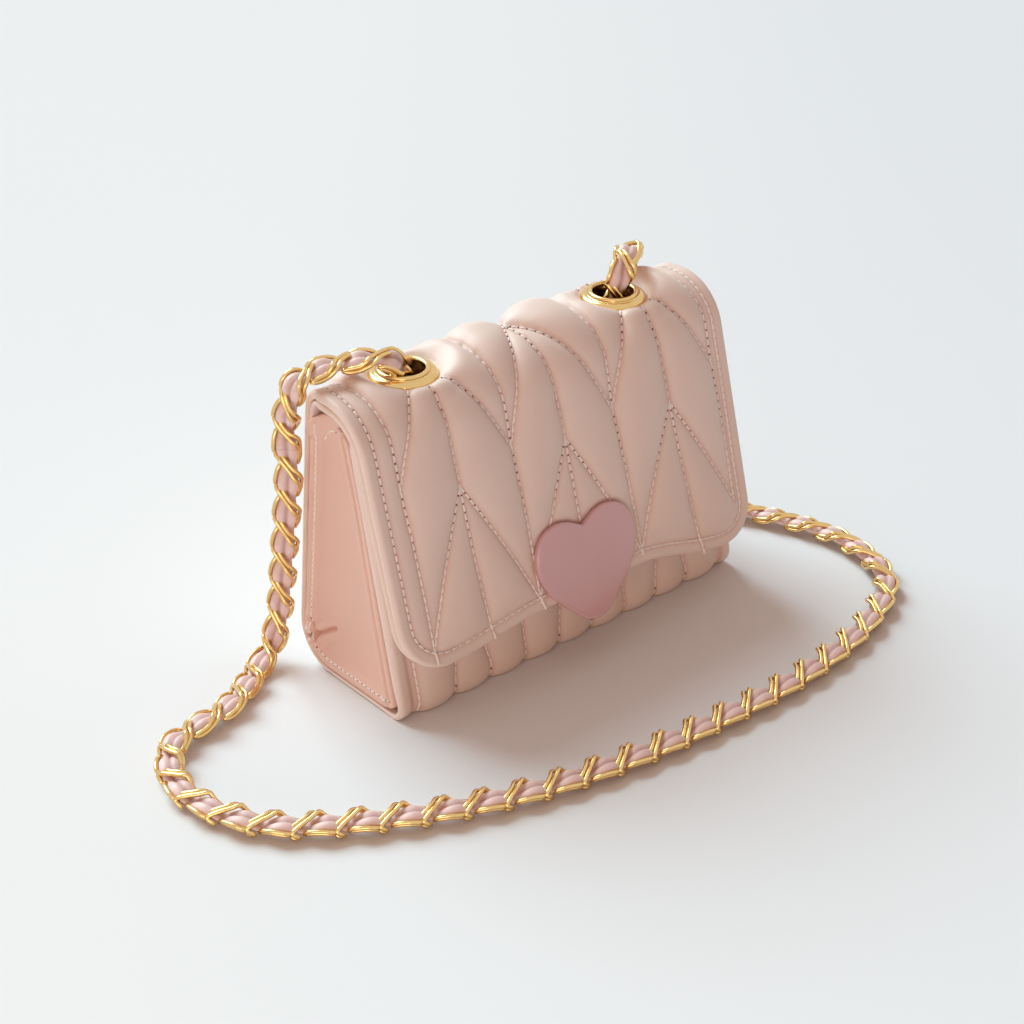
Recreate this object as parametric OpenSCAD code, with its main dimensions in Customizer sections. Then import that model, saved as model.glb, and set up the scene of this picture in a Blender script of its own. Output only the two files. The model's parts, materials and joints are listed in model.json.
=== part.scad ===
// Small quilted crossbody bag: leather flap over a boxed body, woven chain strap.
// Millimetres. X runs along the bag, the front faces -Y, Z is up, and the floor is z = 0.

/* [Body] */
// Width of the body over the flanges of its side gussets
bag_w = 157; // [140:1:180]
// Depth of the body on the floor
base_d = 58; // [54:1:66]
// Height of the mouth above the floor
mouth_h = 97; // [92:1:99]
// Distance of the front of the mouth from the plane through the middle of the base
mouth_front = 7.32; // [6:0.02:9]
// Distance of the back of the mouth from that plane
mouth_back = 17.95; // [16:0.05:20]
// Radius of the corner between back and base
back_corner_r = 15; // [10:1:20]

/* [Leather layers] */
// Height of the sewn margins and of the plain padding over the seams
quilt_rise = 1.5; // [1:0.1:2]
// Further height of the puffs between the seams of the flap and the back
puff_rise = 0.9; // [0.5:0.1:1.2]
// Thickness of the leather over the puffs' wadding
skin_t = 1.1; // [0.9:0.1:1.3]
// Thickness of the front panel at its seams
front_t = 3.7; // [3.4:0.1:4.2]
// Thickness of the back and base panels at their seams
wrap_t = 2.4; // [2.2:0.1:3]
// Width of the sewn margin round each padded panel
margin = 5.5; // [4:0.5:7]

/* [Quilting] */
// Distance between neighbouring upright seams
seam_pitch = 23.5; // [21:0.5:24]
// Width over which a seam draws the puffs down
seam_w = 10; // [7:0.5:12]
// Distance along the leather from the ridge to where slanting seams part from the upright ones
fan_drop = 47; // [40:1:52]
// Distance along the leather over which they slant, to where they meet the next upright seams
fan_length = 49; // [42:0.5:50]

/* [Gussets] */
// Thickness of the gusset leather
gusset_t = 1.8; // [1.4:0.1:2.2]
// Width of the flange that each gusset turns outwards
flange_w = 4; // [3:0.5:5]
// Height of the turned hem at the top of each gusset
hem_h = 6; // [4:0.5:8]
// Extra thickness of that hem
hem_t = 1; // [0.6:0.1:1.4]

/* [Lining and boards] */
// Thickness of the lining
lining_t = 0.9; // [0.6:0.1:1.2]
// Thickness of the stiffening boards
board_t = 1.6; // [1.2:0.1:2]
// Width of the slip pocket
pocket_w = 84; // [70:1:96]
// Height of the slip pocket
pocket_h = 46; // [36:1:52]
// Depth that the slip pocket holds open
pocket_gap = 1.2; // [0.8:0.1:1.6]

/* [Flap] */
// Width of the flap
flap_w = 161; // [159:1:182]
// Rise of the top of the flap, at its seams, over the mouth
flap_rise = 12; // [11:0.5:15]
// How far the flap stands in front of the body at the mouth
flap_stand = 7.08; // [6.5:0.02:8]
// How far the flap's slope, carried on down, meets the floor in front of the body
flap_foot = 12.5; // [12:0.5:14]
// Radius of the flap's front shoulder
shoulder_r = 20; // [18:1:22]
// Radius of the flap's fold at the back
back_top_r = 9; // [8:0.5:10]
// Thickness of the padded outer layer at its seams
outer_t = 2.6; // [2.4:0.1:3]
// Thickness of the flap's lining layer
flap_lining_t = 2.4; // [2:0.1:2.6]
// Height of the lowest points of the flap, near its corners
rim_low = 19; // [16:0.5:22]
// Rise of the flap's edge from there to its middle
rim_rise = 5.4; // [4:0.1:7]
// Radius of the flap's lower corners
rim_corner_r = 16; // [12:1:20]

/* [Eyelets] */
// Distance between the centres of the two eyelets
eyelet_pitch = 94; // [84:1:100]
// Outer diameter of an eyelet
eyelet_d = 23.5; // [20:0.5:25]
// Bore of an eyelet
eyelet_bore = 14.5; // [13:0.5:16]
// Height of an eyelet's domed rim over the leather
eyelet_dome = 2.5; // [2:0.1:3]
// Wall of an eyelet's barrel
barrel_wall = 0.7; // [0.5:0.1:0.9]

/* [Heart] */
// Width of the heart
heart_w = 45; // [38:0.5:48]
// Height of the heart along the flap's slope
heart_h = 38.3; // [32:0.1:40]
// Thickness of the heart plate
heart_t = 2.3; // [2:0.1:2.6]
// Height of the heart's tip above the floor
heart_tip_z = 14.5; // [12:0.5:16]

/* [Magnetic snap] */
// Height of the snap above the floor
snap_z = 37; // [34:0.5:40]
// Diameter of the snap halves
snap_d = 16; // [12:0.5:18]
// Thickness of the socket half
socket_t = 2.8; // [2.4:0.1:3]
// Thickness of the stud half
stud_t = 1.4; // [1.2:0.1:1.6]
// Diameter of the stud's nipple
nipple_d = 6; // [5:0.5:7]
// Height of the stud's nipple
nipple_h = 1.6; // [1.2:0.1:1.8]

/* [Rings and tabs] */
// Inner width of a D-ring
ring_w = 11; // [10:0.5:12]
// Wire diameter of a D-ring
ring_wire = 2; // [1.6:0.1:2.2]
// Drop of a D-ring's bar below the mouth
ring_drop = 17; // [16:0.5:19]
// Width of a leather tab
tab_w = 9; // [7:0.5:9.5]
// Length of a leather tab below the bar
tab_l = 14; // [10:1:18]
// Thickness of the tab leather
tab_t = 1.1; // [0.9:0.1:1.2]

/* [Strap] */
// Width of the woven chain strap
strap_w = 7.5; // [6.5:0.1:8]
// Inner diameter of the round link that joins the strap to its ring
link_d = 4.4; // [4:0.1:5]
// Wire diameter of that link
link_wire = 1.4; // [1.2:0.1:1.6]

/* [Hidden] */

// Clearance between soft pieces, and the running clearance of metal in metal
ease = 0.3;
fit_clear = 0.05;
// Overrun of every cut past the faces that it opens
over = 1;
// Segments of each rounded corner, and of each turned metal piece
corner_n = 8;
turned_n = 48;
// Radius of the corner between front and base
front_corner_r = 4;
// Angles round the back fold at which the flap and its wadding end
fold_angle = 41;
wadding_angle = 62;
// Drop of the back panel's top below the centre of the back fold
fold_drop = 2.5;
// Leather pressed flat round an eyelet: its width, its drop, and its two thicknesses
seat_rim = 0.75;
seat_drop = 1;
seat_outer_t = 2.2;
seat_lining_t = 1.4;
// Leather left under the heart, and the heart's two posts
heart_seat = 0.6;
post_d = 2;
post_pitch = 26;
post_share = 0.6;
// Washers and prongs behind the snap halves, and the push washers of the heart
washer_t = 0.6;
washer_d = 13;
prong_w = 2.4;
prong_t = 0.6;
prong_pitch = 7;
patch_rim = 2;
push_d = 6;
// Play round the nipple in its socket, which the flap's swing needs
bore_play = 1.2;
// Tilt of the D-rings towards the eyelets when the strap pulls them
ring_tilt = 25;
strap_sides = 10;

// Leans of the front, the back and the flap from upright
front_lean = atan((base_d / 2 - mouth_front) / mouth_h);
back_lean = atan((base_d / 2 - mouth_back) / mouth_h);
flap_lean = atan((base_d / 2 + flap_foot - mouth_front - flap_stand) / mouth_h);

// Places that follow from the sizes above
flap_top = mouth_h + flap_rise;
ring_z = mouth_h - ring_drop;
gusset_face = bag_w / 2 - flange_w;
gusset_in = gusset_face - gusset_t;
lining_half = gusset_in - ease;
lining_off = wrap_t + board_t + ease;
lining_front = front_t + ease;
lining_top = mouth_h - ease;
stack_t = outer_t + flap_lining_t;
eyelet_x = eyelet_pitch / 2;
barrel_r = eyelet_bore / 2 + barrel_wall;
seat_r = eyelet_d / 2 + seat_rim;
seat_z = flap_top - seat_drop;
seat_foot_z = seat_z - seat_outer_t - seat_lining_t;

// Horizontal place of the front and back lines of the body at height z, moved inwards by t
function front_y(z, t) = -base_d / 2 + z * tan(front_lean) + t / cos(front_lean);
function back_y(z, t) = base_d / 2 - z * tan(back_lean) - t / cos(back_lean);
// Place of the flap's front at height z, moved inwards by t
function flap_y(z, t) = -base_d / 2 - flap_foot + z * tan(flap_lean) + t / cos(flap_lean);
function arc(c, r, a0, a1) =
    [for (i = [0:corner_n]) let (a = a0 + (a1 - a0) * i / corner_n) c + r * [cos(a), sin(a)]];
function reversed(list) = [for (i = [len(list) - 1:-1:0]) list[i]];

// Side outline of the body, moved inwards by tf at the front and tb at the back and base
function side(tf, tb, top) =
    let (rf = max(front_corner_r - tb, ease), rb = back_corner_r - tb)
    concat(
        [[front_y(top, tf), top]],
        arc([front_y(tb + rf, tf + rf), tb + rf], rf, 180 - front_lean, 270),
        arc([back_y(tb + rb, tb + rb), tb + rb], rb, 270, 360 + back_lean),
        [[back_y(top, tb), top]]);

// Corner between base and back: its outer and inner arcs, from the floor upwards
corner_c = [back_y(back_corner_r, back_corner_r), back_corner_r];
corner_out = arc(corner_c + [quilt_rise / cos(back_lean), 0], back_corner_r, 270, 360 + back_lean);
corner_in = arc(corner_c, back_corner_r - wrap_t, 270, 360 + back_lean);

// Centres of the flap's two folds, and its path moved inwards by s up to angle a at the back
shoulder_c = [flap_y(flap_top - shoulder_r, shoulder_r), flap_top - shoulder_r];
fold_c = [back_y(flap_top - back_top_r, back_top_r), flap_top - back_top_r];
function flap_path(s, a) = concat(
    [[flap_y(0, s), 0]],
    arc(shoulder_c, shoulder_r - s, 180 - flap_lean, 90),
    arc(fold_c, back_top_r - s, 90, a));
eyelet_y = (shoulder_c[0] + fold_c[0]) / 2;
// The back panel ends here, and the hinge axis lies on the fold's outer face
back_top_z = fold_c[1] - fold_drop;
hinge_z = fold_c[1] + back_top_r * sin(2 * back_lean);

// Turns a (Y, Z) outline into a solid of width w across the bag, centred or from x
module across(w) rotate([90, 0, 90]) linear_extrude(w, center = true) children();
module across_from(x, w) translate([x, 0, 0]) rotate([90, 0, 90]) linear_extrude(w) children();

// The layer of the flap between depths s0 and s1, ended at angle a of the back fold
module flap_layer(s0, s1, w, a)
    across(w) polygon(concat(flap_path(s0, a), reversed(flap_path(s1, a))));

// Front outline of the flap, drawn in by m, from its wavy edge to above its top
rim_reach = flap_w / 2 - rim_corner_r;
function rim_z(x, m) = rim_low + m + rim_rise * (1 + cos(180 * x / rim_reach)) / 2;
module flap_outline(m) {
    r = rim_corner_r - m;
    c = rim_low + rim_corner_r;
    wave = [for (i = [1 - corner_n:corner_n - 1]) let (x = rim_reach * i / corner_n) [x, rim_z(x, m)]];
    translate([0, base_d, 0]) rotate([90, 0, 0]) linear_extrude(2 * base_d) polygon(concat(
        [[-flap_w / 2 + m, flap_top + shoulder_r]],
        arc([-rim_reach, c], r, 180, 270),
        wave,
        arc([rim_reach, c], r, 270, 360),
        [[flap_w / 2 - m, flap_top + shoulder_r]]));
}

// Moves to height z on the front panel, the flap or the back and then inwards by t, square to it,
// with +Z outwards and +Y up the slope
module on_front(z, t)
    translate([0, front_y(z, 0), z]) rotate([90 - front_lean, 0, 0]) translate([0, 0, -t]) children();
module on_flap(z, t)
    translate([0, flap_y(z, 0), z]) rotate([90 - flap_lean, 0, 0]) translate([0, 0, -t]) children();
module on_back(z, t)
    translate([0, back_y(z, 0), z]) rotate([90 - back_lean, 0, 180]) translate([0, 0, -t]) children();
module at_eyelet(end, z) translate([end * eyelet_x, eyelet_y, z]) children();
module at_both_eyelets(z) for (end = [-1, 1]) at_eyelet(end, z) children();

// Quilting: each seam is a channel with sloping sides, its foot at the depth t

puff_top = quilt_rise + puff_rise;
function channel_section(t) = let (h = puff_top + over + t, w = seam_w / 2 * h / puff_top)
    [[0, -t], [w, h - t], [-w, h - t]];
module channel(p, q, t) translate(p) rotate([0, 0, atan2(q[1] - p[1], q[0] - p[0])])
    rotate([90, 0, 90]) linear_extrude(norm(q - p)) polygon(channel_section(t));
// Channel round a fold of radius r, from angle a0 to angle a1
module fold_channel(c, r, a0, a1, t) translate([0, c[0], c[1]]) rotate([0, 90, 0]) rotate([0, 0, 90 + a0])
    rotate_extrude(angle = a1 - a0, $fn = 2 * turned_n)
        polygon([for (p = channel_section(t)) [r + p[1], p[0]]]);
// Upright seams, a pitch apart, and the fans between them from the height y0 down to y1, which the
// upright ones run past
seam_n = floor((flap_w / 2 - margin) / seam_pitch);
module upright_seams(y0, y1, t)
    for (i = [-seam_n:seam_n]) channel([i * seam_pitch, y1 - seam_w / 4], [i * seam_pitch, y0], t);
module fan_seams(y0, y1, t)
    for (i = [1 - seam_n:2:seam_n - 1], side = [-1, 1])
        channel([(i + side) * seam_pitch, y1], [i * seam_pitch, y0], t);

// Lengths along the leather from the ridge to the ends of its two folds
shoulder_foot = (fold_c[0] - shoulder_c[0]) / 2 + PI * shoulder_r * (90 - flap_lean) / 180;
fold_foot = (fold_c[0] - shoulder_c[0]) / 2 + PI * back_top_r * (90 - back_lean) / 180;
skin_angle = 180 / PI * skin_t / back_top_r;
module flap_channels(t) {
    on_flap(shoulder_c[1] + shoulder_r * sin(flap_lean), 0) {
        upright_seams(over, shoulder_foot - fan_drop - fan_length, t);
        fan_seams(shoulder_foot - fan_drop, shoulder_foot - fan_drop - fan_length, t);
    }
    for (i = [-seam_n:seam_n]) translate([i * seam_pitch, 0, 0]) {
        fold_channel(shoulder_c, shoulder_r, 90, 180 - flap_lean, t);
        fold_channel(fold_c, back_top_r, wadding_angle - skin_angle, 90, t);
        translate([0, shoulder_c[0], flap_top])
            channel([0, -over], [0, fold_c[0] - shoulder_c[0] + over], t);
    }
}
module back_channels(t) on_back(fold_c[1] + back_top_r * sin(back_lean), 0) {
    upright_seams(0, fold_foot - fan_drop - fan_length, t);
    fan_seams(fold_foot - fan_drop, fold_foot - fan_drop - fan_length, t);
}

// Body panels, each padded between its sewn margins

module front_slab(t0, t1, z0, z1, w)
    across(w) polygon([
        [front_y(z0, t0), z0], [front_y(z1, t0), z1], [front_y(z1, t1), z1], [front_y(z0, t1), z0]]);
front_low = wrap_t + margin;
front_high = mouth_h - margin;
module snap_patch() on_front(snap_z, front_t + 2 * over)
    cylinder(d = snap_d + 2 * patch_rim, h = front_t + 4 * over, $fn = turned_n);

module front_panel() color([0.91, 0.76, 0.71]) difference() {
    across(bag_w) polygon([
        [front_y(wrap_t, 0), wrap_t],
        [front_y(front_low, -quilt_rise), front_low],
        [front_y(front_high - margin, -quilt_rise), front_high - margin],
        [front_y(mouth_h, 0), mouth_h],
        [front_y(mouth_h, front_t), mouth_h],
        [front_y(wrap_t, front_t), wrap_t]]);
    difference() {
        front_slab(0, front_t + over, front_low, front_high, bag_w - 2 * margin);
        snap_patch();
    }
    on_front(snap_z, 0) cylinder(d = snap_d + 2 * ease, h = quilt_rise + over, $fn = turned_n);
    on_front(snap_z, front_t + over)
        cylinder(d = washer_d + 2 * ease, h = washer_t + over, $fn = turned_n);
    on_front(snap_z, front_t) snap_prongs(front_t + over, ease);
}

module front_wadding() color([0.95, 0.94, 0.9]) difference() {
    front_slab(0, front_t, front_low, front_high, bag_w - 2 * margin);
    snap_patch();
}

module base_panel() color([0.91, 0.76, 0.71]) across(bag_w)
    polygon(concat([[front_y(0, 0), 0]], corner_out, reversed(corner_in), [[front_y(0, 0), wrap_t]]));

// Slab of the back between depths t0 and t1 and heights z0 and z1
module back_slab(t0, t1, z0, z1, w)
    across(w) polygon([
        [back_y(z0, t0), z0], [back_y(z1, t0), z1], [back_y(z1, t1), z1], [back_y(z0, t1), z0]]);
back_low = back_corner_r + margin;
back_high = back_top_z - margin;
// Stuffing of the back's puffs, from under their leather down to depth t
module back_stuffing(t) difference() {
    back_slab(skin_t - puff_top, t, back_low + skin_t, back_high - skin_t, bag_w - 2 * (margin + skin_t));
    back_channels(skin_t);
}
module back_panel() color([0.91, 0.76, 0.71]) difference() {
    union() {
        across(bag_w) polygon([
            corner_out[corner_n],
            [back_y(back_top_z, -quilt_rise), back_top_z],
            [back_y(back_top_z, wrap_t), back_top_z],
            corner_in[corner_n]]);
        back_slab(-puff_top, 0, back_low, back_high, bag_w - 2 * margin);
    }
    back_channels(0);
    back_stuffing(wrap_t + over);
}
module back_wadding() color([0.95, 0.94, 0.9]) back_stuffing(wrap_t);

// Gussets: a recessed panel with a flange turned outwards on three sides and a hem at the top

module gusset(end) color([0.93, 0.78, 0.72]) mirror([end < 0 ? 1 : 0, 0, 0]) {
    across_from(gusset_in, gusset_t) polygon(side(front_t, wrap_t, mouth_h));
    across_from(gusset_in, gusset_t + flange_w) difference() {
        polygon(side(front_t, wrap_t, mouth_h));
        polygon(side(front_t + gusset_t, wrap_t + gusset_t, mouth_h + over));
    }
    across_from(gusset_face, hem_t) intersection() {
        polygon(side(front_t + gusset_t, wrap_t + gusset_t, mouth_h));
        translate([-base_d, mouth_h - hem_h]) square([2 * base_d, 2 * hem_h]);
    }
}

// Boards, lining and pocket

module base_board() color([0.75, 0.72, 0.66])
    translate([-lining_half, front_y(lining_off, lining_front), wrap_t])
        cube([2 * lining_half, corner_c[0] - front_y(lining_off, lining_front), board_t]);

module back_board() color([0.75, 0.72, 0.66])
    back_slab(wrap_t, wrap_t + board_t, back_low, mouth_h - margin - hem_h, 2 * (lining_half - margin));

module lining_bag() color([0.86, 0.7, 0.66]) difference() {
    across(2 * lining_half) polygon(side(lining_front, lining_off, lining_top));
    across(2 * (lining_half - lining_t))
        polygon(side(lining_front + lining_t, lining_off + lining_t, lining_top + over));
}

wall_off = lining_off + lining_t;
pocket_foot = back_corner_r + margin / 2;
module slip_pocket() color([0.86, 0.7, 0.66]) difference() {
    back_slab(wall_off, wall_off + pocket_gap + lining_t,
        pocket_foot, pocket_foot + pocket_h, pocket_w);
    back_slab(wall_off - over, wall_off + pocket_gap,
        pocket_foot + margin / 2, pocket_foot + pocket_h + over, pocket_w - margin);
}

// D-rings on leather tabs, sewn to the lining just under the mouth

ring_r = ring_w / 2 + ring_wire / 2;
bar_hole_r = ring_wire / 2 + fit_clear;
bar_off = wall_off + tab_t + bar_hole_r;
bar_y = back_y(ring_z, bar_off);
// Moves to a ring's bar, turned by a towards the front, with +Z up the ring
module at_bar(end, a) translate([end * eyelet_x, bar_y, ring_z]) rotate([a, 0, 0]) children();

module tab(end) color([0.9, 0.75, 0.7]) at_bar(end, back_lean) across(tab_w) difference() {
    union() {
        circle(r = bar_hole_r + tab_t, $fn = turned_n);
        translate([-bar_hole_r - tab_t, -tab_l]) square([2 * (bar_hole_r + tab_t), tab_l]);
    }
    circle(r = bar_hole_r, $fn = turned_n);
    translate([-bar_hole_r / 2, -tab_l / 2]) square([bar_hole_r, tab_l / 2]);
}

module d_ring(end) color([0.83, 0.66, 0.32]) at_bar(end, back_lean + ring_tilt) {
    rotate([0, 90, 0]) cylinder(d = ring_wire, h = 2 * ring_r, center = true, $fn = turned_n);
    for (tip = [-1, 1]) translate([tip * ring_r, 0, 0]) sphere(d = ring_wire, $fn = turned_n);
    rotate([90, 0, 0]) rotate_extrude(angle = 180, $fn = turned_n)
        translate([ring_r, 0]) circle(d = ring_wire, $fn = turned_n);
}

// The round link hangs through the top of the D and takes the end of the strap
link_r = (link_d + link_wire) / 2;
link_lift = ring_r - ring_wire / 2 - fit_clear + link_d / 2;
module end_link(end) color([0.83, 0.66, 0.32]) at_bar(end, back_lean + ring_tilt)
    translate([0, 0, link_lift]) rotate([0, 90, 0])
        rotate_extrude($fn = turned_n) translate([link_r, 0]) circle(d = link_wire, $fn = turned_n);

// Magnetic snap: socket on the front panel, stud under the flap, each held by a washer

// Two flat prongs as long as l, with a clearance of c all round
module snap_prongs(l, c)
    for (tip = [-1, 1])
        translate([tip * prong_pitch / 2 - prong_t / 2 - c, -prong_w / 2 - c, 0])
            cube([prong_t + 2 * c, prong_w + 2 * c, l]);
module snap_washer() difference() {
    cylinder(d = washer_d, h = washer_t, $fn = turned_n);
    translate([0, 0, -over]) snap_prongs(washer_t + 2 * over, fit_clear);
}

module snap_socket() color([0.83, 0.66, 0.32]) {
    on_front(snap_z, 0) difference() {
        cylinder(d = snap_d, h = socket_t, $fn = turned_n);
        translate([0, 0, socket_t - nipple_h - ease])
            cylinder(d = nipple_d + 2 * bore_play, h = nipple_h + ease + over, $fn = turned_n);
    }
    on_front(snap_z, front_t) snap_prongs(front_t + ease, 0);
}
module snap_socket_washer() color([0.6, 0.58, 0.55]) on_front(snap_z, front_t) snap_washer();

// The stud lies on the flap's lining, with its nipple on the axis of the socket
stud_z = snap_z + socket_t * sin(front_lean) + (stack_t + stud_t + nipple_h / 2) * sin(flap_lean);
module snap_stud() color([0.83, 0.66, 0.32]) on_flap(stud_z, stack_t) {
    translate([0, 0, -stud_t]) cylinder(d = snap_d, h = stud_t, $fn = turned_n);
    translate([0, 0, -stud_t - nipple_h]) cylinder(d = nipple_d, h = nipple_h + ease, $fn = turned_n);
    translate([0, 0, -ease]) snap_prongs(flap_lining_t + washer_t + ease, 0);
}
module snap_stud_washer() color([0.6, 0.58, 0.55]) on_flap(stud_z, outer_t) snap_washer();

// Heart: its right half as shares of the half width and of the height, from tip to notch
heart_shares = [
    [0, 0], [0.13, 0.012], [0.26, 0.05], [0.44, 0.144], [0.63, 0.248], [0.81, 0.366],
    [0.92, 0.483], [0.985, 0.6], [1, 0.71], [0.95, 0.83], [0.83, 0.925],
    [0.68, 0.98], [0.48, 1], [0.29, 0.98], [0.14, 0.935], [0, 0.895]
];
// The whole outline, with m added all round
function heart_outline(m) =
    let (half = [for (p = heart_shares) [p[0] * (heart_w / 2 + m), p[1] * (heart_h + 2 * m) - m]])
    concat(half, [for (p = reversed(half)) if (p[0] > 0) [-p[0], p[1]]]);
post_z = heart_tip_z + post_share * heart_h * cos(flap_lean);
module at_posts(s) for (tip = [-1, 1]) on_flap(post_z, s) translate([tip * post_pitch / 2, 0, 0]) children();

module heart_plate() color([0.79, 0.53, 0.55]) {
    on_flap(heart_tip_z, -heart_seat) linear_extrude(heart_t) polygon(heart_outline(0));
    at_posts(outer_t) cylinder(d = post_d, h = outer_t + heart_seat + ease, $fn = turned_n);
}
module heart_washers() color([0.6, 0.58, 0.55]) at_posts(outer_t) difference() {
    cylinder(d = push_d, h = washer_t, $fn = turned_n);
    translate([0, 0, -over]) cylinder(d = post_d + 2 * fit_clear, h = washer_t + 2 * over, $fn = turned_n);
}

// Flap: padded outer leather, its wadding, and the lining layer, pressed flat at the eyelets

// Stuffing of the flap's puffs, from under their leather down to depth t, thin under the heart
module flap_stuffing(t) difference() {
    intersection() {
        flap_layer(skin_t - puff_top, t, flap_w - 2 * (margin + skin_t), wadding_angle);
        flap_outline(margin + skin_t);
    }
    flap_channels(skin_t);
    on_flap(heart_tip_z, 0) linear_extrude(puff_top + over) polygon(heart_outline(ease + skin_t));
}

module flap_outer() color([0.91, 0.76, 0.71]) difference() {
    union() {
        difference() {
            union() {
                intersection() {
                    flap_layer(-quilt_rise, outer_t, flap_w, fold_angle);
                    flap_outline(0);
                }
                intersection() {
                    flap_layer(-puff_top, 0, flap_w - 2 * margin, wadding_angle - skin_angle);
                    flap_outline(margin);
                }
            }
            flap_channels(0);
            flap_stuffing(outer_t + over);
            at_both_eyelets(0) cylinder(r = seat_r, h = 2 * flap_top, $fn = turned_n);
        }
        at_both_eyelets(seat_z - seat_outer_t) cylinder(r = seat_r, h = seat_outer_t, $fn = turned_n);
    }
    at_both_eyelets(0) cylinder(r = barrel_r + fit_clear, h = 2 * flap_top, $fn = turned_n);
    on_flap(heart_tip_z, -heart_seat)
        linear_extrude(heart_t + over) polygon(heart_outline(ease));
    at_posts(outer_t) cylinder(d = post_d + 2 * fit_clear, h = outer_t + puff_top, $fn = turned_n);
}

module flap_wadding() color([0.95, 0.94, 0.9]) difference() {
    flap_stuffing(outer_t);
    at_both_eyelets(0) cylinder(r = seat_r, h = 2 * flap_top, $fn = turned_n);
    at_posts(outer_t + over) cylinder(d = push_d + 2 * ease, h = washer_t + over, $fn = turned_n);
    at_posts(outer_t) cylinder(d = post_d + 2 * fit_clear, h = outer_t + over, $fn = turned_n);
    on_flap(stud_z, outer_t + over)
        cylinder(d = washer_d + 2 * ease, h = washer_t + over, $fn = turned_n);
}

module flap_lining() color([0.9, 0.74, 0.69]) difference() {
    union() {
        difference() {
            intersection() {
                flap_layer(outer_t, stack_t, flap_w, fold_angle);
                flap_outline(0);
            }
            at_both_eyelets(0) cylinder(r = seat_r, h = 2 * flap_top, $fn = turned_n);
        }
        at_both_eyelets(seat_foot_z) cylinder(r = seat_r, h = seat_lining_t, $fn = turned_n);
    }
    at_both_eyelets(0) cylinder(r = barrel_r + fit_clear, h = 2 * flap_top, $fn = turned_n);
    on_flap(stud_z, stack_t + over) snap_prongs(flap_lining_t + 2 * over, ease);
}

// Short stretch of the same leather that bends between the back panel and the flap
module flap_fold() color([0.91, 0.76, 0.71]) difference() {
    across(bag_w) polygon(concat(
        arc(fold_c, back_top_r + quilt_rise, fold_angle, back_lean),
        [[back_y(back_top_z, -quilt_rise), back_top_z], [back_y(back_top_z, wrap_t), back_top_z]],
        arc(fold_c, back_top_r - wrap_t, back_lean, fold_angle)));
    at_both_eyelets(hinge_z) cylinder(r = seat_r + ease, h = flap_top, $fn = turned_n);
}

// Eyelets: a domed rim with its barrel, and a flat washer under the flap

module eyelet(end) color([0.83, 0.66, 0.32]) at_eyelet(end, seat_z) {
    rim = (eyelet_d - eyelet_bore) / 4;
    foot = seat_foot_z - washer_t - seat_z;
    dome = [for (i = [0:corner_n]) let (a = 180 - 180 * i / corner_n)
        [eyelet_bore / 2 + rim * (1 + cos(a)), eyelet_dome * sin(a)]];
    rotate_extrude($fn = turned_n)
        polygon(concat([[eyelet_bore / 2, foot]], dome, [[barrel_r, 0], [barrel_r, foot]]));
}
module eyelet_washer(end) color([0.83, 0.66, 0.32]) at_eyelet(end, seat_foot_z - washer_t)
    difference() {
        cylinder(r = eyelet_d / 2 - seat_rim, h = washer_t, $fn = turned_n);
        translate([0, 0, -over])
            cylinder(r = barrel_r + fit_clear, h = washer_t + 2 * over, $fn = turned_n);
    }

// Strap: a woven chain with a leather ribbon, as a tube along points chosen by hand.
// Its ends rise from the round links, pass out through the eyelets and leave the flap.

route_left = [
    [-47, 8.5, 90.5], [-47, 8.5, 98], [-48, 6.5, 106.5], [-53.5, 4.5, 114.4], [-62, 8, 115.6],
    [-72, 12, 115.2], [-83, 13, 114], [-85.5, 14.5, 108.5], [-85, 19.5, 96], [-85, 19.5, 88]
];
route_run = [
    [-85, 19.5, 88], [-85, 19.5, 78], [-85, 25, 46], [-85.5, 31, 15], [-93, 30, 3.8],
    [-117, 15, 3.8], [-144, 8, 3.8], [-155, -16, 3.8], [-144, -46, 3.8], [-112, -69, 3.8],
    [-76, -85, 3.8], [-38, -94, 3.8], [2, -98, 3.8], [42, -98.5, 3.8], [80, -92, 3.8],
    [109, -77, 3.8], [119, -47, 3.8], [109, -13, 3.8], [91, 16, 3.8], [75, 35, 9],
    [69.5, 26.5, 74], [69.5, 26.5, 84]
];
route_right = [
    [69.5, 26.5, 84], [69.5, 26.5, 92], [69.3, 26, 101.5], [65, 17.5, 113.5], [58, 10, 120.3],
    [51, 5, 120.3], [47.6, 3.6, 115], [47, 5.5, 107], [47, 8.5, 98], [47, 8.5, 90.5]
];

function unit(v) = v / norm(v);
// Points midway along each stretch of a route, on the smooth curve through its points
function curve_mid(p, i) =
    let (a = p[max(i - 1, 0)], b = p[i], c = p[i + 1], d = p[min(i + 2, len(p) - 1)])
    (9 * (b + c) - (a + d)) / 16;
function halved(p) = concat([p[0]], [p[1]],
    [for (i = [1:len(p) - 3]) each [curve_mid(p, i), p[i + 1]]], [p[len(p) - 1]]);
function heading(p, i) = unit(p[min(i + 1, len(p) - 1)] - p[max(i - 1, 0)]);
// Side direction of each ring, carried along the route without twist
function carried(p, i, s) = i == len(p) ? [] :
    let (t = heading(p, i), n = unit(s - (s * t) * t)) concat([n], carried(p, i + 1, n));
module tube(p) {
    n = strap_sides;
    sides = carried(p, 0, [1, 0, 0]);
    rings = [for (i = [0:len(p) - 1]) let (u = sides[i], v = cross(heading(p, i), u))
        for (k = [0:n - 1]) p[i] + strap_w / 2 * (cos(360 * k / n) * u + sin(360 * k / n) * v)];
    walls = [for (i = [0:len(p) - 2]) for (k = [0:n - 1])
        let (a = i * n + k, b = i * n + (k + 1) % n) each [[a, a + n, b], [b, a + n, b + n]]];
    last = (len(p) - 1) * n;
    polyhedron(rings, concat(walls, [[for (k = [0:n - 1]) k]], [[for (k = [n - 1:-1:0]) last + k]]));
}

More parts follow.
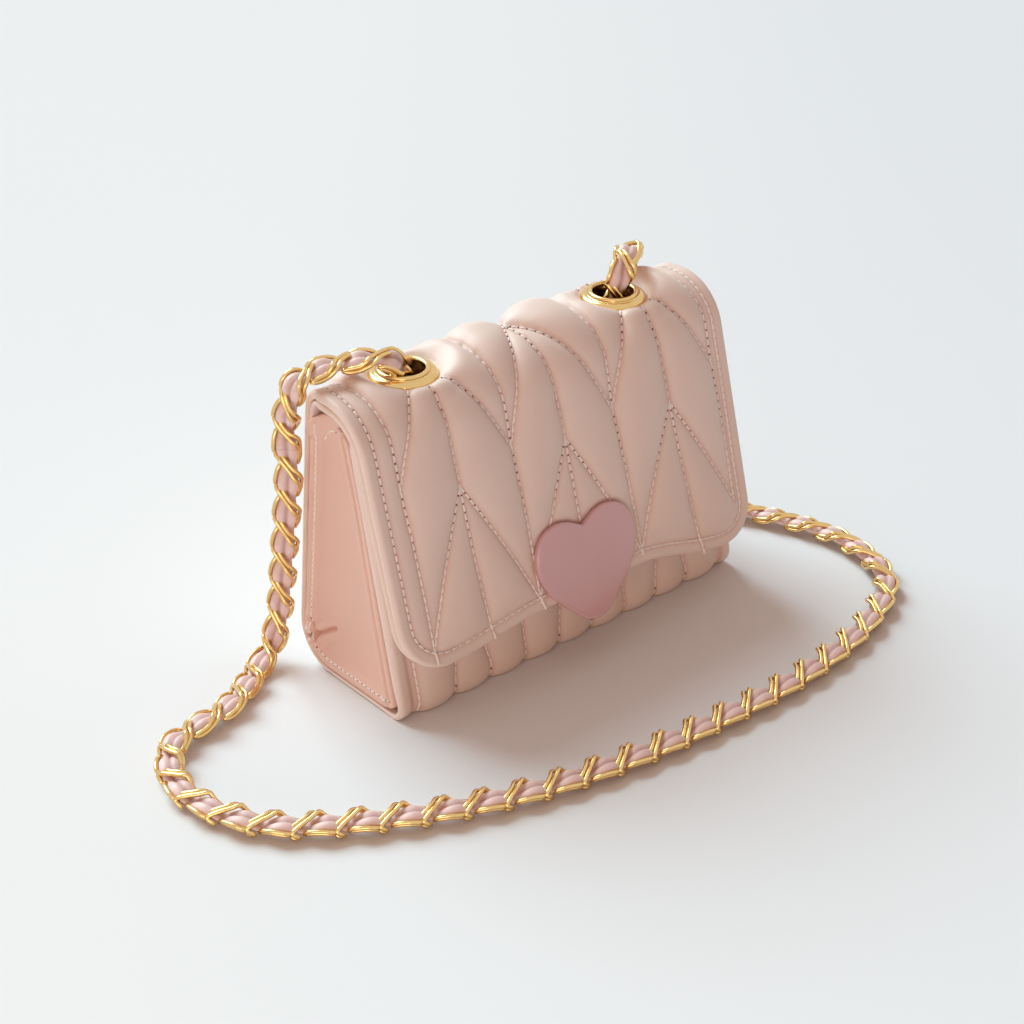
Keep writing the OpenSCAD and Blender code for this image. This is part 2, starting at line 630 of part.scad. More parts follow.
module strap_end_left() color([0.83, 0.66, 0.32]) tube(route_left);
module strap_end_right() color([0.83, 0.66, 0.32]) tube(route_right);
module strap_run() color([0.83, 0.66, 0.32]) tube(halved(route_run));

front_panel();
front_wadding();
base_panel();
back_panel();
back_wadding();
gusset(-1);  // gusset_left
gusset(1);  // gusset_right
base_board();
back_board();
lining_bag();
slip_pocket();
tab(-1);  // tab_left
tab(1);  // tab_right
d_ring(-1);  // d_ring_left
d_ring(1);  // d_ring_right
end_link(-1);  // end_link_left
end_link(1);  // end_link_right
snap_socket();
snap_socket_washer();
flap_fold();
flap_outer();
flap_wadding();
flap_lining();
heart_plate();
heart_washers();
snap_stud();
snap_stud_washer();
eyelet(-1);  // eyelet_left
eyelet(1);  // eyelet_right
eyelet_washer(-1);  // eyelet_washer_left
eyelet_washer(1);  // eyelet_washer_right
strap_end_left();
strap_end_right();
strap_run();
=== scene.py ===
import json
import math

import bpy
import numpy as np
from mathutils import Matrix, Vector


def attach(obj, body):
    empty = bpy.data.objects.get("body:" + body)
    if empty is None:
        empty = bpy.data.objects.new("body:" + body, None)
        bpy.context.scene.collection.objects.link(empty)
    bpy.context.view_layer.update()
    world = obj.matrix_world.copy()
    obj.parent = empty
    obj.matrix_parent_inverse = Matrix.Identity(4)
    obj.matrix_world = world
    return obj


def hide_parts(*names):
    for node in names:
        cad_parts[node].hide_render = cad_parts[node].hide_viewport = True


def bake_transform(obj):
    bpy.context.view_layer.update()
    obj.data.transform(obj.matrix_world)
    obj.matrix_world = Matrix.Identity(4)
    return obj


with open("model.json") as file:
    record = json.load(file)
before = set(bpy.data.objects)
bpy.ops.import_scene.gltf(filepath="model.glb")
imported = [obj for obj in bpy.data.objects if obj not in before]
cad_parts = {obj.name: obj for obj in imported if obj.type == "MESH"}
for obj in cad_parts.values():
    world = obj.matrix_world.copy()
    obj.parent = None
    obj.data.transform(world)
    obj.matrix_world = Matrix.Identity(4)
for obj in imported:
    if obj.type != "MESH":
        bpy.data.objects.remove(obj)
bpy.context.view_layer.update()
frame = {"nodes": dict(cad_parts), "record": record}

# Sizes are in millimetres, and a mesh is scaled to metres when it is made. Only the camera, the
# lamps, the floor and LONGEST_ROW are in metres.
MM = 0.001

# Body: its width, depth, height, mouth and corners, as in the frame
BAG_W = 157
BASE_D = 58
MOUTH_H = 97
MOUTH_FRONT = 7.32
MOUTH_BACK = 17.95
BACK_CORNER_R = 15
FRONT_CORNER_R = 6

# Flap: its width, top, stand from the body, folds and layers
FLAP_W = 161
FLAP_TOP = 109
FLAP_STAND = 7.08
FLAP_FOOT = 12.5
SHOULDER_R = 20
BACK_TOP_R = 9
OUTER_T = 2.6
LINING_LAYER_T = 2.4

# Edge of the flap: heights at its middle and near its two lower corners, and their radii
RIM_MIDDLE_Z = 24.6
RIM_LEFT_Z = 21.5
RIM_RIGHT_Z = 17.2
CORNER_LEFT_R = 18
CORNER_RIGHT_R = 14
EDGE_ROLL = 1.4
RIM_STITCH = 4.8
SIDE_STITCH = 5.2

# Leather shells of the body
WRAP_T = 1.4
FRONT_T = 3.3
MARGIN_BEAD = 0.8

# Stuffing: height of a puff from the spread of its seams, and the leather's raster
PUFF_GAIN = 0.34
PUFF_POWER = 0.6
RASTER = 0.5
SEAM_PIN = 0.45
CREASE_W = 1.0

# Eyelets
EYELET_X = 47
EYELET_Y = 6.34
EYELET_R = 11.75
BORE_R = 7.25
SEAT_Z = 106.6
SEAT_REACH = 20
SEAT_PRESS = 0.4

# Woven chain
LINK_PITCH = 13
LINK_WIRE = 1.5
RIBBON_W = 7

front_lean = math.atan((BASE_D / 2 - MOUTH_FRONT) / MOUTH_H)
back_lean = math.atan((BASE_D / 2 - MOUTH_BACK) / MOUTH_H)
flap_lean = math.atan((BASE_D / 2 + FLAP_FOOT - MOUTH_FRONT - FLAP_STAND) / MOUTH_H)


def smooth(t):
    """0 below 0, 1 above 1, and a soft step between."""
    t = np.clip(t, 0, 1)
    return t * t * (3 - 2 * t)


def hump(far, reach):
    """1 where far is 0, and softly down to 0 past reach."""
    return np.exp(-((far / reach) ** 2))


def unit(v):
    """Vectors of length 1."""
    v = np.asarray(v, float)
    return v / np.maximum(np.linalg.norm(v, axis=-1, keepdims=True), 1e-9)


class Outline:
    """A side outline in the (Y, Z) plane, walked with the outside on its left."""

    def __init__(self, start, heading):
        self.y = [start[0]]
        self.z = [start[1]]
        self.angle = [heading]
        self.along = [0.0]

    def step(self, length, turn):
        middle = self.angle[-1] - turn / 2
        chord = length if turn == 0 else 2 * length / turn * math.sin(turn / 2)
        self.y.append(self.y[-1] + chord * math.cos(middle))
        self.z.append(self.z[-1] + chord * math.sin(middle))
        self.angle.append(self.angle[-1] - turn)
        self.along.append(self.along[-1] + length)

    def line(self, length):
        self.step(length, 0)
        return self.along[-1]

    def arc(self, radius, turn, steps=24):
        for _ in range(steps):
            self.step(radius * turn / steps, turn / steps)
        return self.along[-1]

    def at(self, s, out):
        """Y and Z at the distances s, moved outwards by out."""
        a = np.interp(s, self.along, self.angle)
        y = np.interp(s, self.along, self.y)
        z = np.interp(s, self.along, self.z)
        return y - out * np.sin(a), z + out * np.cos(a)


# The seam level of the leather: up the flap, over the top, down the back, under the base and
# up the front to the mouth. Places on it are (x, s), with s the distance along it.
wrap = Outline((-BASE_D / 2 - FLAP_FOOT, 0), math.pi / 2 - flap_lean)
shoulder_z = FLAP_TOP - SHOULDER_R
fold_z = FLAP_TOP - BACK_TOP_R
wrap.line((shoulder_z + SHOULDER_R * math.sin(flap_lean)) / math.cos(flap_lean))
S_TOP = wrap.arc(SHOULDER_R, math.pi / 2 - flap_lean)
fold_y = BASE_D / 2 - fold_z * math.tan(back_lean) - BACK_TOP_R / math.cos(back_lean)
S_FOLD = wrap.line(fold_y - wrap.y[-1])
S_BACK = wrap.arc(BACK_TOP_R, math.pi / 2 - back_lean)
back_foot_z = BACK_CORNER_R * (1 + math.sin(back_lean))
S_BACK_CORNER = wrap.line((wrap.z[-1] - back_foot_z) / math.cos(back_lean))
S_BASE = wrap.arc(BACK_CORNER_R, math.pi / 2 + back_lean)
front_corner_y = -BASE_D / 2 + FRONT_CORNER_R * (math.tan(front_lean) + 1 / math.cos(front_lean))
S_FRONT_CORNER = wrap.line(wrap.y[-1] - front_corner_y)
S_FRONT = wrap.arc(FRONT_CORNER_R, math.pi / 2 + front_lean)
S_MOUTH = wrap.line((MOUTH_H - wrap.z[-1]) / math.cos(front_lean))
S_EYELET = S_TOP + EYELET_Y - np.interp(S_TOP, wrap.along, wrap.y)
S_RIDGE = S_EYELET

# Under the base the leather of the back ends, and that of the front begins
S_SPLIT = S_BASE + 1


def flap_s(z):
    return z / math.cos(flap_lean)


def front_s(z):
    return S_MOUTH - (MOUTH_H - z) / math.cos(front_lean)


def wrap_half(s):
    """Half width of the leather: the flap's, and past the fold the body's."""
    return FLAP_W / 2 + (BAG_W - FLAP_W) / 2 * smooth((s - S_TOP) / (S_BACK - S_TOP))


# Quilting: nodes and seams as (x, s), after the rows of fans in the leather

PERIOD = 47
FAN_BOW = 1.2
RIDGE_BOW = 0.8
LOW_FAN_BOW = 0.8
FOOT_BOW = 0.6
COLUMN_BOW = -0.5
BACK_UPPER_S = 85
BACK_MIDDLE_S = 79
BACK_LOWER_S = 30
FRONT_SEAM_Z = 92
FRONT_FORK_Z = 44
FRONT_FOOT_Z = 8
SEAT_MARGIN = 0.8
FAN_TOPS = [(-47, S_EYELET), (-2, S_EYELET + 3), (47, S_EYELET)]
UPPER_NODES = [(-69, 85), (-22.5, 84.5), (23, 83.5), (72, 85.5)]
MIDDLE_NODES = [(-46, 78.5), (0.5, 80), (49.5, 77.5)]
LOWER_NODES = [(-68.5, 29), (-22, 29.8), (25.8, 29.8), (73, 33)]
MIDDLE_FEET = [(-44.2, 25.6), (2, 26.9), (54, 19.9)]
LOWER_FEET = [(-68.5, 25.9), (-21.5, 27.2)]


def run(p, q, bow=0.0):
    """Points about a millimetre apart from p to q, bowed sideways by bow."""
    p, q = np.array(p, float), np.array(q, float)
    n = max(3, int(np.linalg.norm(q - p)) + 1)
    t = np.linspace(0, 1, n)[:, None]
    side = unit(np.array([q[1] - p[1], p[0] - q[0]]))
    return p + (q - p) * t + side * bow * np.sin(math.pi * t)


def cut_at_eyelets(line, reach):
    """The part of a seam that lies outside the eyelets."""
    keep = np.ones(len(line), bool)
    for x in (-EYELET_X, EYELET_X):
        keep &= np.hypot(line[:, 0] - x, line[:, 1] - S_EYELET) > reach
    return line[keep]


def fan_rows(tops, upper, middle, lower, feet):
    """The seams of the fans. They run from each top to the upper nodes beside it and to its middle
    node, then on to the lower nodes beside that and to its foot, and from upper to lower nodes."""
    seams = []
    for top, mid, foot in zip(tops, middle, feet):
        left, right, low_left, low_right = (
            min(nodes, key=lambda node: abs(node[0] - top[0] - away))
            for nodes in (upper, lower) for away in (-PERIOD / 2, PERIOD / 2)
        )
        seams += [run(top, left, FAN_BOW), run(top, right, -FAN_BOW), run(top, mid)]
        seams += [run(mid, low_left, LOW_FAN_BOW), run(mid, low_right, -LOW_FAN_BOW)]
        seams.append(run(mid, foot, FOOT_BOW))
    seams += [run(up, low, COLUMN_BOW) for up, low in zip(upper, lower)]
    return seams


def on_back(xs, s):
    """Places on the back that lie as far from the ridge as s does on the flap."""
    return [(x, 2 * S_RIDGE - s) for x in xs]


flap_seams = fan_rows(FAN_TOPS, UPPER_NODES, MIDDLE_NODES, LOWER_NODES, MIDDLE_FEET)
flap_seams += [run(p, q) for p, q in zip(LOWER_NODES, LOWER_FEET)]
column_xs = [-PERIOD * 1.5, -PERIOD / 2, PERIOD / 2, PERIOD * 1.5]
middle_xs = [-PERIOD, 0, PERIOD]
back_upper = on_back(column_xs, BACK_UPPER_S)
back_lower = on_back(column_xs, BACK_LOWER_S)
back_feet = [(x, S_BASE) for x in middle_xs]
back_seams = fan_rows(FAN_TOPS, back_upper, on_back(middle_xs, BACK_MIDDLE_S), back_lower, back_feet)
back_seams += [run(low, (x, S_BASE)) for low, x in zip(back_lower, column_xs)]
ridge_seams = [run(up, (x, S_RIDGE), RIDGE_BOW) for up, x in zip(UPPER_NODES, column_xs)]
ridge_seams += [run((x, S_RIDGE), up) for up, x in zip(back_upper, column_xs)]
front_top, front_fork, front_foot = (front_s(z) for z in (FRONT_SEAM_Z, FRONT_FORK_Z, FRONT_FOOT_Z))
front_seams = [run((x, front_top), (x, S_SPLIT)) for x in column_xs]
for x in middle_xs:
    front_seams.append(run((x, front_top), (x, front_fork)))
    for foot in (x - PERIOD / 6, x + PERIOD / 6):
        front_seams.append(run((x, front_fork), (foot, front_foot)))
        front_seams.append(run((foot, front_foot), (foot, S_SPLIT)))
wrap_seams = [
    cut_at_eyelets(line, EYELET_R + SEAT_MARGIN) for line in flap_seams + ridge_seams + back_seams]


# Outlines of the panels, laid flat, as four sides that meet at their corners


def resampled(line, n):
    """n points evenly along a line."""
    line = np.asarray(line, float)
    along = np.concatenate([[0], np.cumsum(np.linalg.norm(np.diff(line, axis=0), axis=1))])
    at = np.linspace(0, along[-1], n)
    return np.stack([np.interp(at, along, line[:, k]) for k in range(line.shape[1])], -1)


def arc_points(centre, radius, start, stop, n=16):
    a = np.radians(np.linspace(start, stop, n))
    return np.stack([centre[0] + radius * np.cos(a), centre[1] + radius * np.sin(a)], -1)


def patch(bottom, top, left, right, across, along):
    """A grid spread between four sides. Bottom and top run to the right, left and right upwards."""
    bottom, top = resampled(bottom, across), resampled(top, across)
    left, right = resampled(left, along), resampled(right, along)
    u = np.linspace(0, 1, across)[None, :, None]
    v = np.linspace(0, 1, along)[:, None, None]
    between = (1 - v) * bottom[None] + v * top[None] + (1 - u) * left[:, None] + u * right[:, None]
    corners = (1 - v) * ((1 - u) * bottom[0] + u * bottom[-1]) + v * ((1 - u) * top[0] + u * top[-1])
    return between - corners


RIM_RISE_SHARE = 0.9
RIM_POINTS = 80
SIDE_POINTS = 120


def rim_z(x):
    """Height of the flap's wavy edge."""
    rise_left = smooth((x + FLAP_W / 2 - CORNER_LEFT_R) / (PERIOD * RIM_RISE_SHARE))
    drop_right = smooth((x - PERIOD / 2) / (FLAP_W / 2 - CORNER_RIGHT_R - PERIOD / 2))
    return RIM_LEFT_Z + (RIM_MIDDLE_Z - RIM_LEFT_Z) * rise_left - (RIM_MIDDLE_Z - RIM_RIGHT_Z) * drop_right


def flap_sides(inset, s_end):
    """Bottom, top, left and right of the flap, drawn in by inset, and carried over to s_end."""
    half = FLAP_W / 2 - inset
    left_r, right_r = CORNER_LEFT_R - inset, CORNER_RIGHT_R - inset
    left_c = (-half + left_r, flap_s(RIM_LEFT_Z) + inset + left_r)
    right_c = (half - right_r, flap_s(RIM_RIGHT_Z) + inset + right_r)
    xs = np.linspace(left_c[0], right_c[0], RIM_POINTS)[1:-1]
    wave = np.stack([xs, flap_s(rim_z(xs)) + inset], -1)
    bottom = np.concatenate(
        [arc_points(left_c, left_r, 225, 270), wave, arc_points(right_c, right_r, 270, 315)])
    end = s_end - inset
    ss = np.linspace(left_c[1], end, SIDE_POINTS)[1:]
    left = np.concatenate(
        [arc_points(left_c, left_r, 225, 180), np.stack([inset - wrap_half(ss), ss], -1)])
    ss = np.linspace(right_c[1], end, SIDE_POINTS)[1:]
    right = np.concatenate(
        [arc_points(right_c, right_r, 315, 360), np.stack([wrap_half(ss) - inset, ss], -1)])
    return bottom, np.array([left[-1], right[-1]]), left, right


def box_sides(half, low, high, inset):
    """The four sides of a rectangle, drawn in by inset."""
    half, low, high = half - inset, low + inset, high - inset
    corners = [(-half, low), (half, low), (-half, high), (half, high)]
    a, b, c, d = (np.array(p, float) for p in corners)
    return np.array([a, b]), np.array([c, d]), np.array([a, c]), np.array([b, d])


def around(sides):
    """One open line down the left side, along the bottom and up the right side."""
    bottom, _, left, right = sides
    return np.concatenate([left[::-1], bottom[1:-1], right])


# The stuffing: a membrane pinned at the seams and blown up, solved on a raster of (x, s)

RASTER_MARGIN = 2
X_LOW, S_LOW = -FLAP_W / 2 - RASTER_MARGIN, 12.0
raster_w = int((FLAP_W + 2 * RASTER_MARGIN) / RASTER) + 1
raster_l = int((S_MOUTH + 2 * RASTER_MARGIN - S_LOW) / RASTER) + 1


def distance_to(lines, reach):
    """Distance of every raster point to the nearest of the lines, up to reach."""
    field = np.full((raster_l, raster_w), float(reach))
    for line in lines:
        line = np.asarray(line, float)
        for p, q in zip(line[:-1], line[1:]):
            low = (np.minimum(p, q) - reach - (X_LOW, S_LOW)) / RASTER
            high = (np.maximum(p, q) + reach - (X_LOW, S_LOW)) / RASTER
            i0, j0 = np.maximum(np.floor(low).astype(int), 0)
            i1, j1 = np.ceil(high).astype(int) + 1
            xs = X_LOW + RASTER * np.arange(i0, min(i1, raster_w))
            ss = S_LOW + RASTER * np.arange(j0, min(j1, raster_l))
            if not len(xs) or not len(ss):
                continue
            gx, gs = np.meshgrid(xs, ss)
            d = q - p
            t = np.clip(((gx - p[0]) * d[0] + (gs - p[1]) * d[1]) / max(d @ d, 1e-9), 0, 1)
            far = np.hypot(gx - p[0] - t * d[0], gs - p[1] - t * d[1])
            part = field[j0 : j0 + len(ss), i0 : i0 + len(xs)]
            np.minimum(part, far, out=part)
    return field


def blown_up(pinned, rounds=260, over=1.88):
    """Height of a membrane under even pressure, held at zero where it is pinned."""
    free = ~pinned
    free[0] = free[-1] = False
    free[:, 0] = free[:, -1] = False
    odd = (np.add.outer(np.arange(raster_l), np.arange(raster_w)) % 2).astype(bool)
    turns = [free & odd, free & ~odd]
    rise = np.zeros((raster_l, raster_w))
    for _ in range(rounds):
        for turn in turns:
            near = np.zeros_like(rise)
            near[1:-1, 1:-1] = (
                rise[:-2, 1:-1] + rise[2:, 1:-1] + rise[1:-1, :-2] + rise[1:-1, 2:] + RASTER**2
            ) / 4
            rise = np.where(turn, rise + over * (near - rise), rise)
    return np.maximum(rise, 0)


def read(field, x, s):
    """A raster's value at places (x, s)."""
    i = np.clip((x - X_LOW) / RASTER, 0, raster_w - 1.001)
    j = np.clip((s - S_LOW) / RASTER, 0, raster_l - 1.001)
    i0, j0 = i.astype(int), j.astype(int)
    u, v = i - i0, j - j0
    top = field[j0, i0] * (1 - u) + field[j0, i0 + 1] * u
    bottom = field[j0 + 1, i0] * (1 - u) + field[j0 + 1, i0 + 1] * u
    return top * (1 - v) + bottom * v


# Heart: half of its outline, as (half width, height) from the tip to the notch

HEART_TIP_Z = 14.5
HEART_T = 2.3
HEART_SEAT = 0.6
HEART_HALF = [
    (0, 0), (3, 0.5), (5.9, 1.9), (9.9, 5.5), (14.2, 9.5), (18.2, 14), (20.7, 18.5),
    (22.2, 23), (22.5, 27.2), (21.4, 31.8), (18.7, 35.4),
    (15.3, 37.5), (10.8, 38.3), (6.5, 37.5), (3.1, 35.8), (0, 34.3),
]


def rounded_line(points, n):
    """A smooth line of n points through points, as a chain of splines."""
    p = np.asarray(points, float)
    p = np.concatenate([[2 * p[0] - p[1]], p, [2 * p[-1] - p[-2]]])
    spans = len(p) - 3
    t = np.linspace(0, spans, max(n * 8, spans * 12))
    i = np.minimum(t.astype(int), spans - 1)
    f = (t - i)[:, None]
    a, b, c, d = p[i], p[i + 1], p[i + 2], p[i + 3]
    curve = b + f / 2 * (c - a + f * (2 * a - 5 * b + 4 * c - d + f * (3 * (b - c) + d - a)))
    return resampled(curve, n)


heart_half = rounded_line(HEART_HALF, 60)
heart_edge = np.concatenate([heart_half, heart_half[-2:0:-1] * (-1, 1)])
heart_flat = heart_edge + (0, flap_s(HEART_TIP_Z))


def inside(outline, x, s):
    """Which places lie inside a closed outline."""
    hit = np.zeros(np.shape(x), bool)
    for (x0, s0), (x1, s1) in zip(outline, np.roll(outline, -1, axis=0)):
        if s0 != s1:
            crossed = (s0 > s) != (s1 > s)
            hit ^= crossed & (x < (x1 - x0) * (s - s0) / (s1 - s0) + x0)
    return hit


# Reach of the distances kept to edges and to seams, and how far an open edge is carried on
EDGE_REACH = 9
SEAM_REACH = 3
OPEN_END = 20

# The front's leather starts this far before the back's ends
SPLIT_LAP = 3

# Clear ring round an eyelet, where nothing is stuffed
SEAT_CLEAR = 0.4

# Puffs are fuller over the top and flatter at the front's foot: share, place after it, reach
TOP_FULLNESS = (0.45, 4, 24)
FOOT_FULLNESS = (-0.15, 3, 16)

body_half = BAG_W / 2
rim_row = around(flap_sides(RIM_STITCH, S_SPLIT))
flap_edge = distance_to([around(flap_sides(0, S_SPLIT + OPEN_END))], EDGE_REACH)
front_low, front_high = S_SPLIT - SPLIT_LAP, S_MOUTH
front_edge = distance_to([around(box_sides(body_half, front_low - OPEN_END, front_high, 0)),
                          [(-body_half, front_high), (body_half, front_high)]], EDGE_REACH)
row_half, row_high = body_half - SIDE_STITCH, front_high - SIDE_STITCH
front_rows = [around(box_sides(body_half, front_low, front_high, SIDE_STITCH)),
              [(-row_half, row_high), (row_half, row_high)]]
seam_far = distance_to(wrap_seams + front_seams + [rim_row] + front_rows, SEAM_REACH)
grid_x, grid_s = np.meshgrid(
    X_LOW + RASTER * np.arange(raster_w), S_LOW + RASTER * np.arange(raster_l))
pinned = seam_far < SEAM_PIN
pinned |= inside(heart_flat, grid_x, grid_s)
for x in (-EYELET_X, EYELET_X):
    pinned |= np.hypot(grid_x - x, grid_s - S_EYELET) < EYELET_R + SEAT_CLEAR
fuller_top, fuller_foot = (
    share * hump(grid_s - s_about - after, reach)
    for s_about, (share, after, reach) in ((S_TOP, TOP_FULLNESS), (S_FRONT, FOOT_FULLNESS))
)
puffs = PUFF_GAIN * (1 + fuller_top + fuller_foot) * blown_up(pinned) ** PUFF_POWER


def bead(edge, stitch):
    """The rolled margin between an edge and its stitches."""
    t = np.clip((edge - EDGE_ROLL) / (stitch - EDGE_ROLL), 0, 1)
    return MARGIN_BEAD * np.sqrt(1 - t * t)


# The leather's gap to the floor, the share of its puffs that the weight takes under the base, its
# sinking there, and the stretch at the front over which these two end
FLOOR_GAP = 0.15
BASE_FLAT_SHARE = 0.7
BASE_SINK = 0.6
BASE_END_AFTER = 3
BASE_END_L = 8


def wrap_height(x, s):
    """How far the leather stands out of its seam level."""
    on_front_panel = s > S_SPLIT
    edge = np.where(on_front_panel, read(front_edge, x, s), read(flap_edge, x, s))
    stitch = np.where(on_front_panel, SIDE_STITCH, RIM_STITCH)
    height = np.where(edge < stitch, bead(edge, stitch), read(puffs, x, s))
    under = smooth((s - S_BACK_CORNER) / (S_BASE - S_BACK_CORNER))
    under = under * smooth((S_FRONT_CORNER + BASE_END_AFTER - s) / BASE_END_L)
    return height * (1 - BASE_FLAT_SHARE * under) - BASE_SINK * under


def wrap_place(x, s, out):
    """Points in space of places (x, s) on the leather, pressed flat round the eyelets."""
    y, z = wrap.at(s, out)
    for eyelet_x in (-EYELET_X, EYELET_X):
        far = np.hypot(x - eyelet_x, s - S_EYELET)
        w = smooth((SEAT_REACH - far) / (SEAT_REACH - EYELET_R - 1))
        y = y + w * (EYELET_Y + s - S_EYELET - y)
        z = z + w * (SEAT_Z + np.where(out < 0, SEAT_PRESS, 1) * out - z)
    return np.stack([x + 0 * y, y, np.maximum(z, FLOOR_GAP)], -1)


# Meshes


def mesh_object(name, points, faces):
    """An object at the origin with a mesh, from points in millimetres."""
    mesh = bpy.data.meshes.new(name)
    mesh.from_pydata((np.asarray(points) * MM).tolist(), [], faces)
    mesh.polygons.foreach_set("use_smooth", np.ones(len(mesh.polygons), bool))
    mesh.update()
    piece = bpy.data.objects.new(name, mesh)
    bpy.context.scene.collection.objects.link(piece)
    return piece


def paint_points(piece, name, values):
    """Keeps one number for each point of a piece, for its material."""
    attribute = piece.data.attributes.new(name, "FLOAT", "POINT")
    attribute.data.foreach_set("value", np.asarray(values, np.float32))


def loop_of(rows, columns):
    """Indices of a grid's border, once round."""
    index = np.arange(rows * columns).reshape(rows, columns)
    return np.concatenate([index[0, :-1], index[:-1, -1], index[-1, :0:-1], index[:0:-1, 0]])


def shell(name, grid, place, height, depth, roll=EDGE_ROLL, crease=None, flip=False):
    """A closed panel. grid holds (a, b) places with odd numbers of rows and columns, place turns
    (a, b, height) into points, and the edge is rolled round from the face to the back. flip turns
    the faces round, for a place that mirrors them."""
    rows, columns = grid.shape[:2]
    a, b = grid[..., 0].ravel(), grid[..., 1].ravel()
    top = height(a, b)
    back = -depth(a, b)
    points = [place(a, b, top)]
    loop = loop_of(rows, columns)
    border = np.stack([a[loop], b[loop]], -1)
    ahead = np.roll(border, -1, axis=0) - np.roll(border, 1, axis=0)
    outward = unit(np.stack([ahead[:, 1], -ahead[:, 0]], -1))
    ring_count = 7
    for k in range(1, ring_count + 1):
        phi = math.pi * k / (ring_count + 1)
        ring = border + outward * roll * math.sin(phi)
        middle = (top[loop] + back[loop]) / 2
        reach = (top[loop] - back[loop]) / 2
        points.append(place(ring[:, 0], ring[:, 1], middle + reach * math.cos(phi)))
    coarse = grid[::2, ::2].reshape(-1, 2)
    points.append(place(coarse[:, 0], coarse[:, 1], -depth(coarse[:, 0], coarse[:, 1])))
    index = np.arange(rows * columns).reshape(rows, columns)
    faces = np.stack(
        [index[:-1, :-1], index[:-1, 1:], index[1:, 1:], index[1:, :-1]], -1).reshape(-1, 4).tolist()
    n = len(loop)
    start = rows * columns
    previous = loop
    for k in range(ring_count):
        ring = start + k * n + np.arange(n)
        faces += np.stack([previous, ring, np.roll(ring, -1), np.roll(previous, -1)], -1).tolist()
        previous = ring
    start += ring_count * n
    small_rows, small_columns = (rows + 1) // 2, (columns + 1) // 2
    inner = start + loop_of(small_rows, small_columns)
    even, odd, after = previous[::2], previous[1::2], np.roll(previous[::2], -1)
    inner_after = np.roll(inner, -1)
    faces += np.stack([even, inner, odd], -1).tolist()
    faces += np.stack([odd, inner, inner_after], -1).tolist()
    faces += np.stack([odd, inner_after, after], -1).tolist()
    index = start + np.arange(small_rows * small_columns).reshape(small_rows, small_columns)
    faces += np.stack(
        [index[:-1, :-1], index[1:, :-1], index[1:, 1:], index[:-1, 1:]], -1).reshape(-1, 4).tolist()
    if flip:
        faces = [face[::-1] for face in faces]
    piece = mesh_object(name, np.concatenate(points), faces)
    # The mask of shade painted in the creases, kept on the face's points for the material
    if crease is not None:
        values = np.zeros(sum(len(p) for p in points))
        values[: rows * columns] = crease(a, b)
        paint_points(piece, "crease", values)
    return piece


def capped(name, rings):
    """A closed piece through rings of the same number of points, with its two ends filled."""
    rings = np.asarray(rings, float)
    count, n = rings.shape[:2]
    index = np.arange(count * n).reshape(count, n)
    after = np.roll(index, -1, axis=1)
    faces = np.stack([index[:-1], after[:-1], after[1:], index[1:]], -1).reshape(-1, 4).tolist()
    faces += [index[0, ::-1].tolist(), index[-1].tolist()]
    return mesh_object(name, rings.reshape(-1, 3), faces)


def crease_at(x, s):
    """1 in the hollow of a seam, where shade is painted, and 0 away from it."""
    return hump(read(seam_far, x, s), CREASE_W)


def turned(name, profile, centre, sides=96):
    """A turned piece: its profile as (radius, height), closed, round an upright axis."""
    n = len(profile)
    a = 2 * math.pi * np.arange(sides) / sides
    profile = np.asarray(profile, float)
    points = np.stack([
        centre[0] + np.outer(np.cos(a), profile[:, 0]),
        centre[1] + np.outer(np.sin(a), profile[:, 0]),
        centre[2] + np.tile(profile[:, 1], (sides, 1)),
    ], -1).reshape(-1, 3)
    index = np.arange(sides * n).reshape(sides, n)
    after = np.roll(index, -1, axis=0)
    faces = np.stack([index, after, np.roll(after, -1, axis=1), np.roll(index, -1, axis=1)], -1)
    return mesh_object(name, points, faces.reshape(-1, 4).tolist())


# The bore through the leather under an eyelet, and the rod that cuts it
BORE_CLEAR = 1.2
ROD_HALF = 10
ROD_CORE = 0.01
ROD_SIDES = 64


def bored(piece):
    """Cuts the holes of the two eyelets through a piece."""
    radius = BORE_R + BORE_CLEAR
    profile = [(ROD_CORE, -ROD_HALF), (radius, -ROD_HALF), (radius, ROD_HALF), (ROD_CORE, ROD_HALF)]
    for x in (-EYELET_X, EYELET_X):
        rod = turned("rod", profile, (x, EYELET_Y, SEAT_Z), ROD_SIDES)
        cut = piece.modifiers.new("bore", "BOOLEAN")
        cut.operation = "DIFFERENCE"
        cut.solver = "MANIFOLD"
        cut.object = rod
        finish_modifiers(piece)
        bpy.data.objects.remove(rod)
    return piece


def finish_modifiers(piece):
    """Turns a piece with its modifiers into a plain mesh."""
    depsgraph = bpy.context.evaluated_depsgraph_get()
    made = bpy.data.meshes.new_from_object(piece.evaluated_get(depsgraph))
    piece.modifiers.clear()
    piece.data = made
    return piece


# Node trees, for materials and for geometry


class Wire:
    """A socket that takes part in sums."""

    def __init__(self, tree, node, output=0):
        self.tree = tree
        self.node = node
        self.socket = node.outputs[output]

    def out(self, name):
        """Another output of the same node."""
        return Wire(self.tree, self.node, name)

    def math(self, operation, *values):
        return self.tree.add("ShaderNodeMath", {"operation": operation}, dict(enumerate(values)))

    def __add__(self, other):
        return self.math("ADD", self, other)

    def __sub__(self, other):
        return self.math("SUBTRACT", self, other)

    def __rsub__(self, other):
        return self.math("SUBTRACT", other, self)

    def __mul__(self, other):
        return self.math("MULTIPLY", self, other)

    __radd__ = __add__
    __rmul__ = __mul__


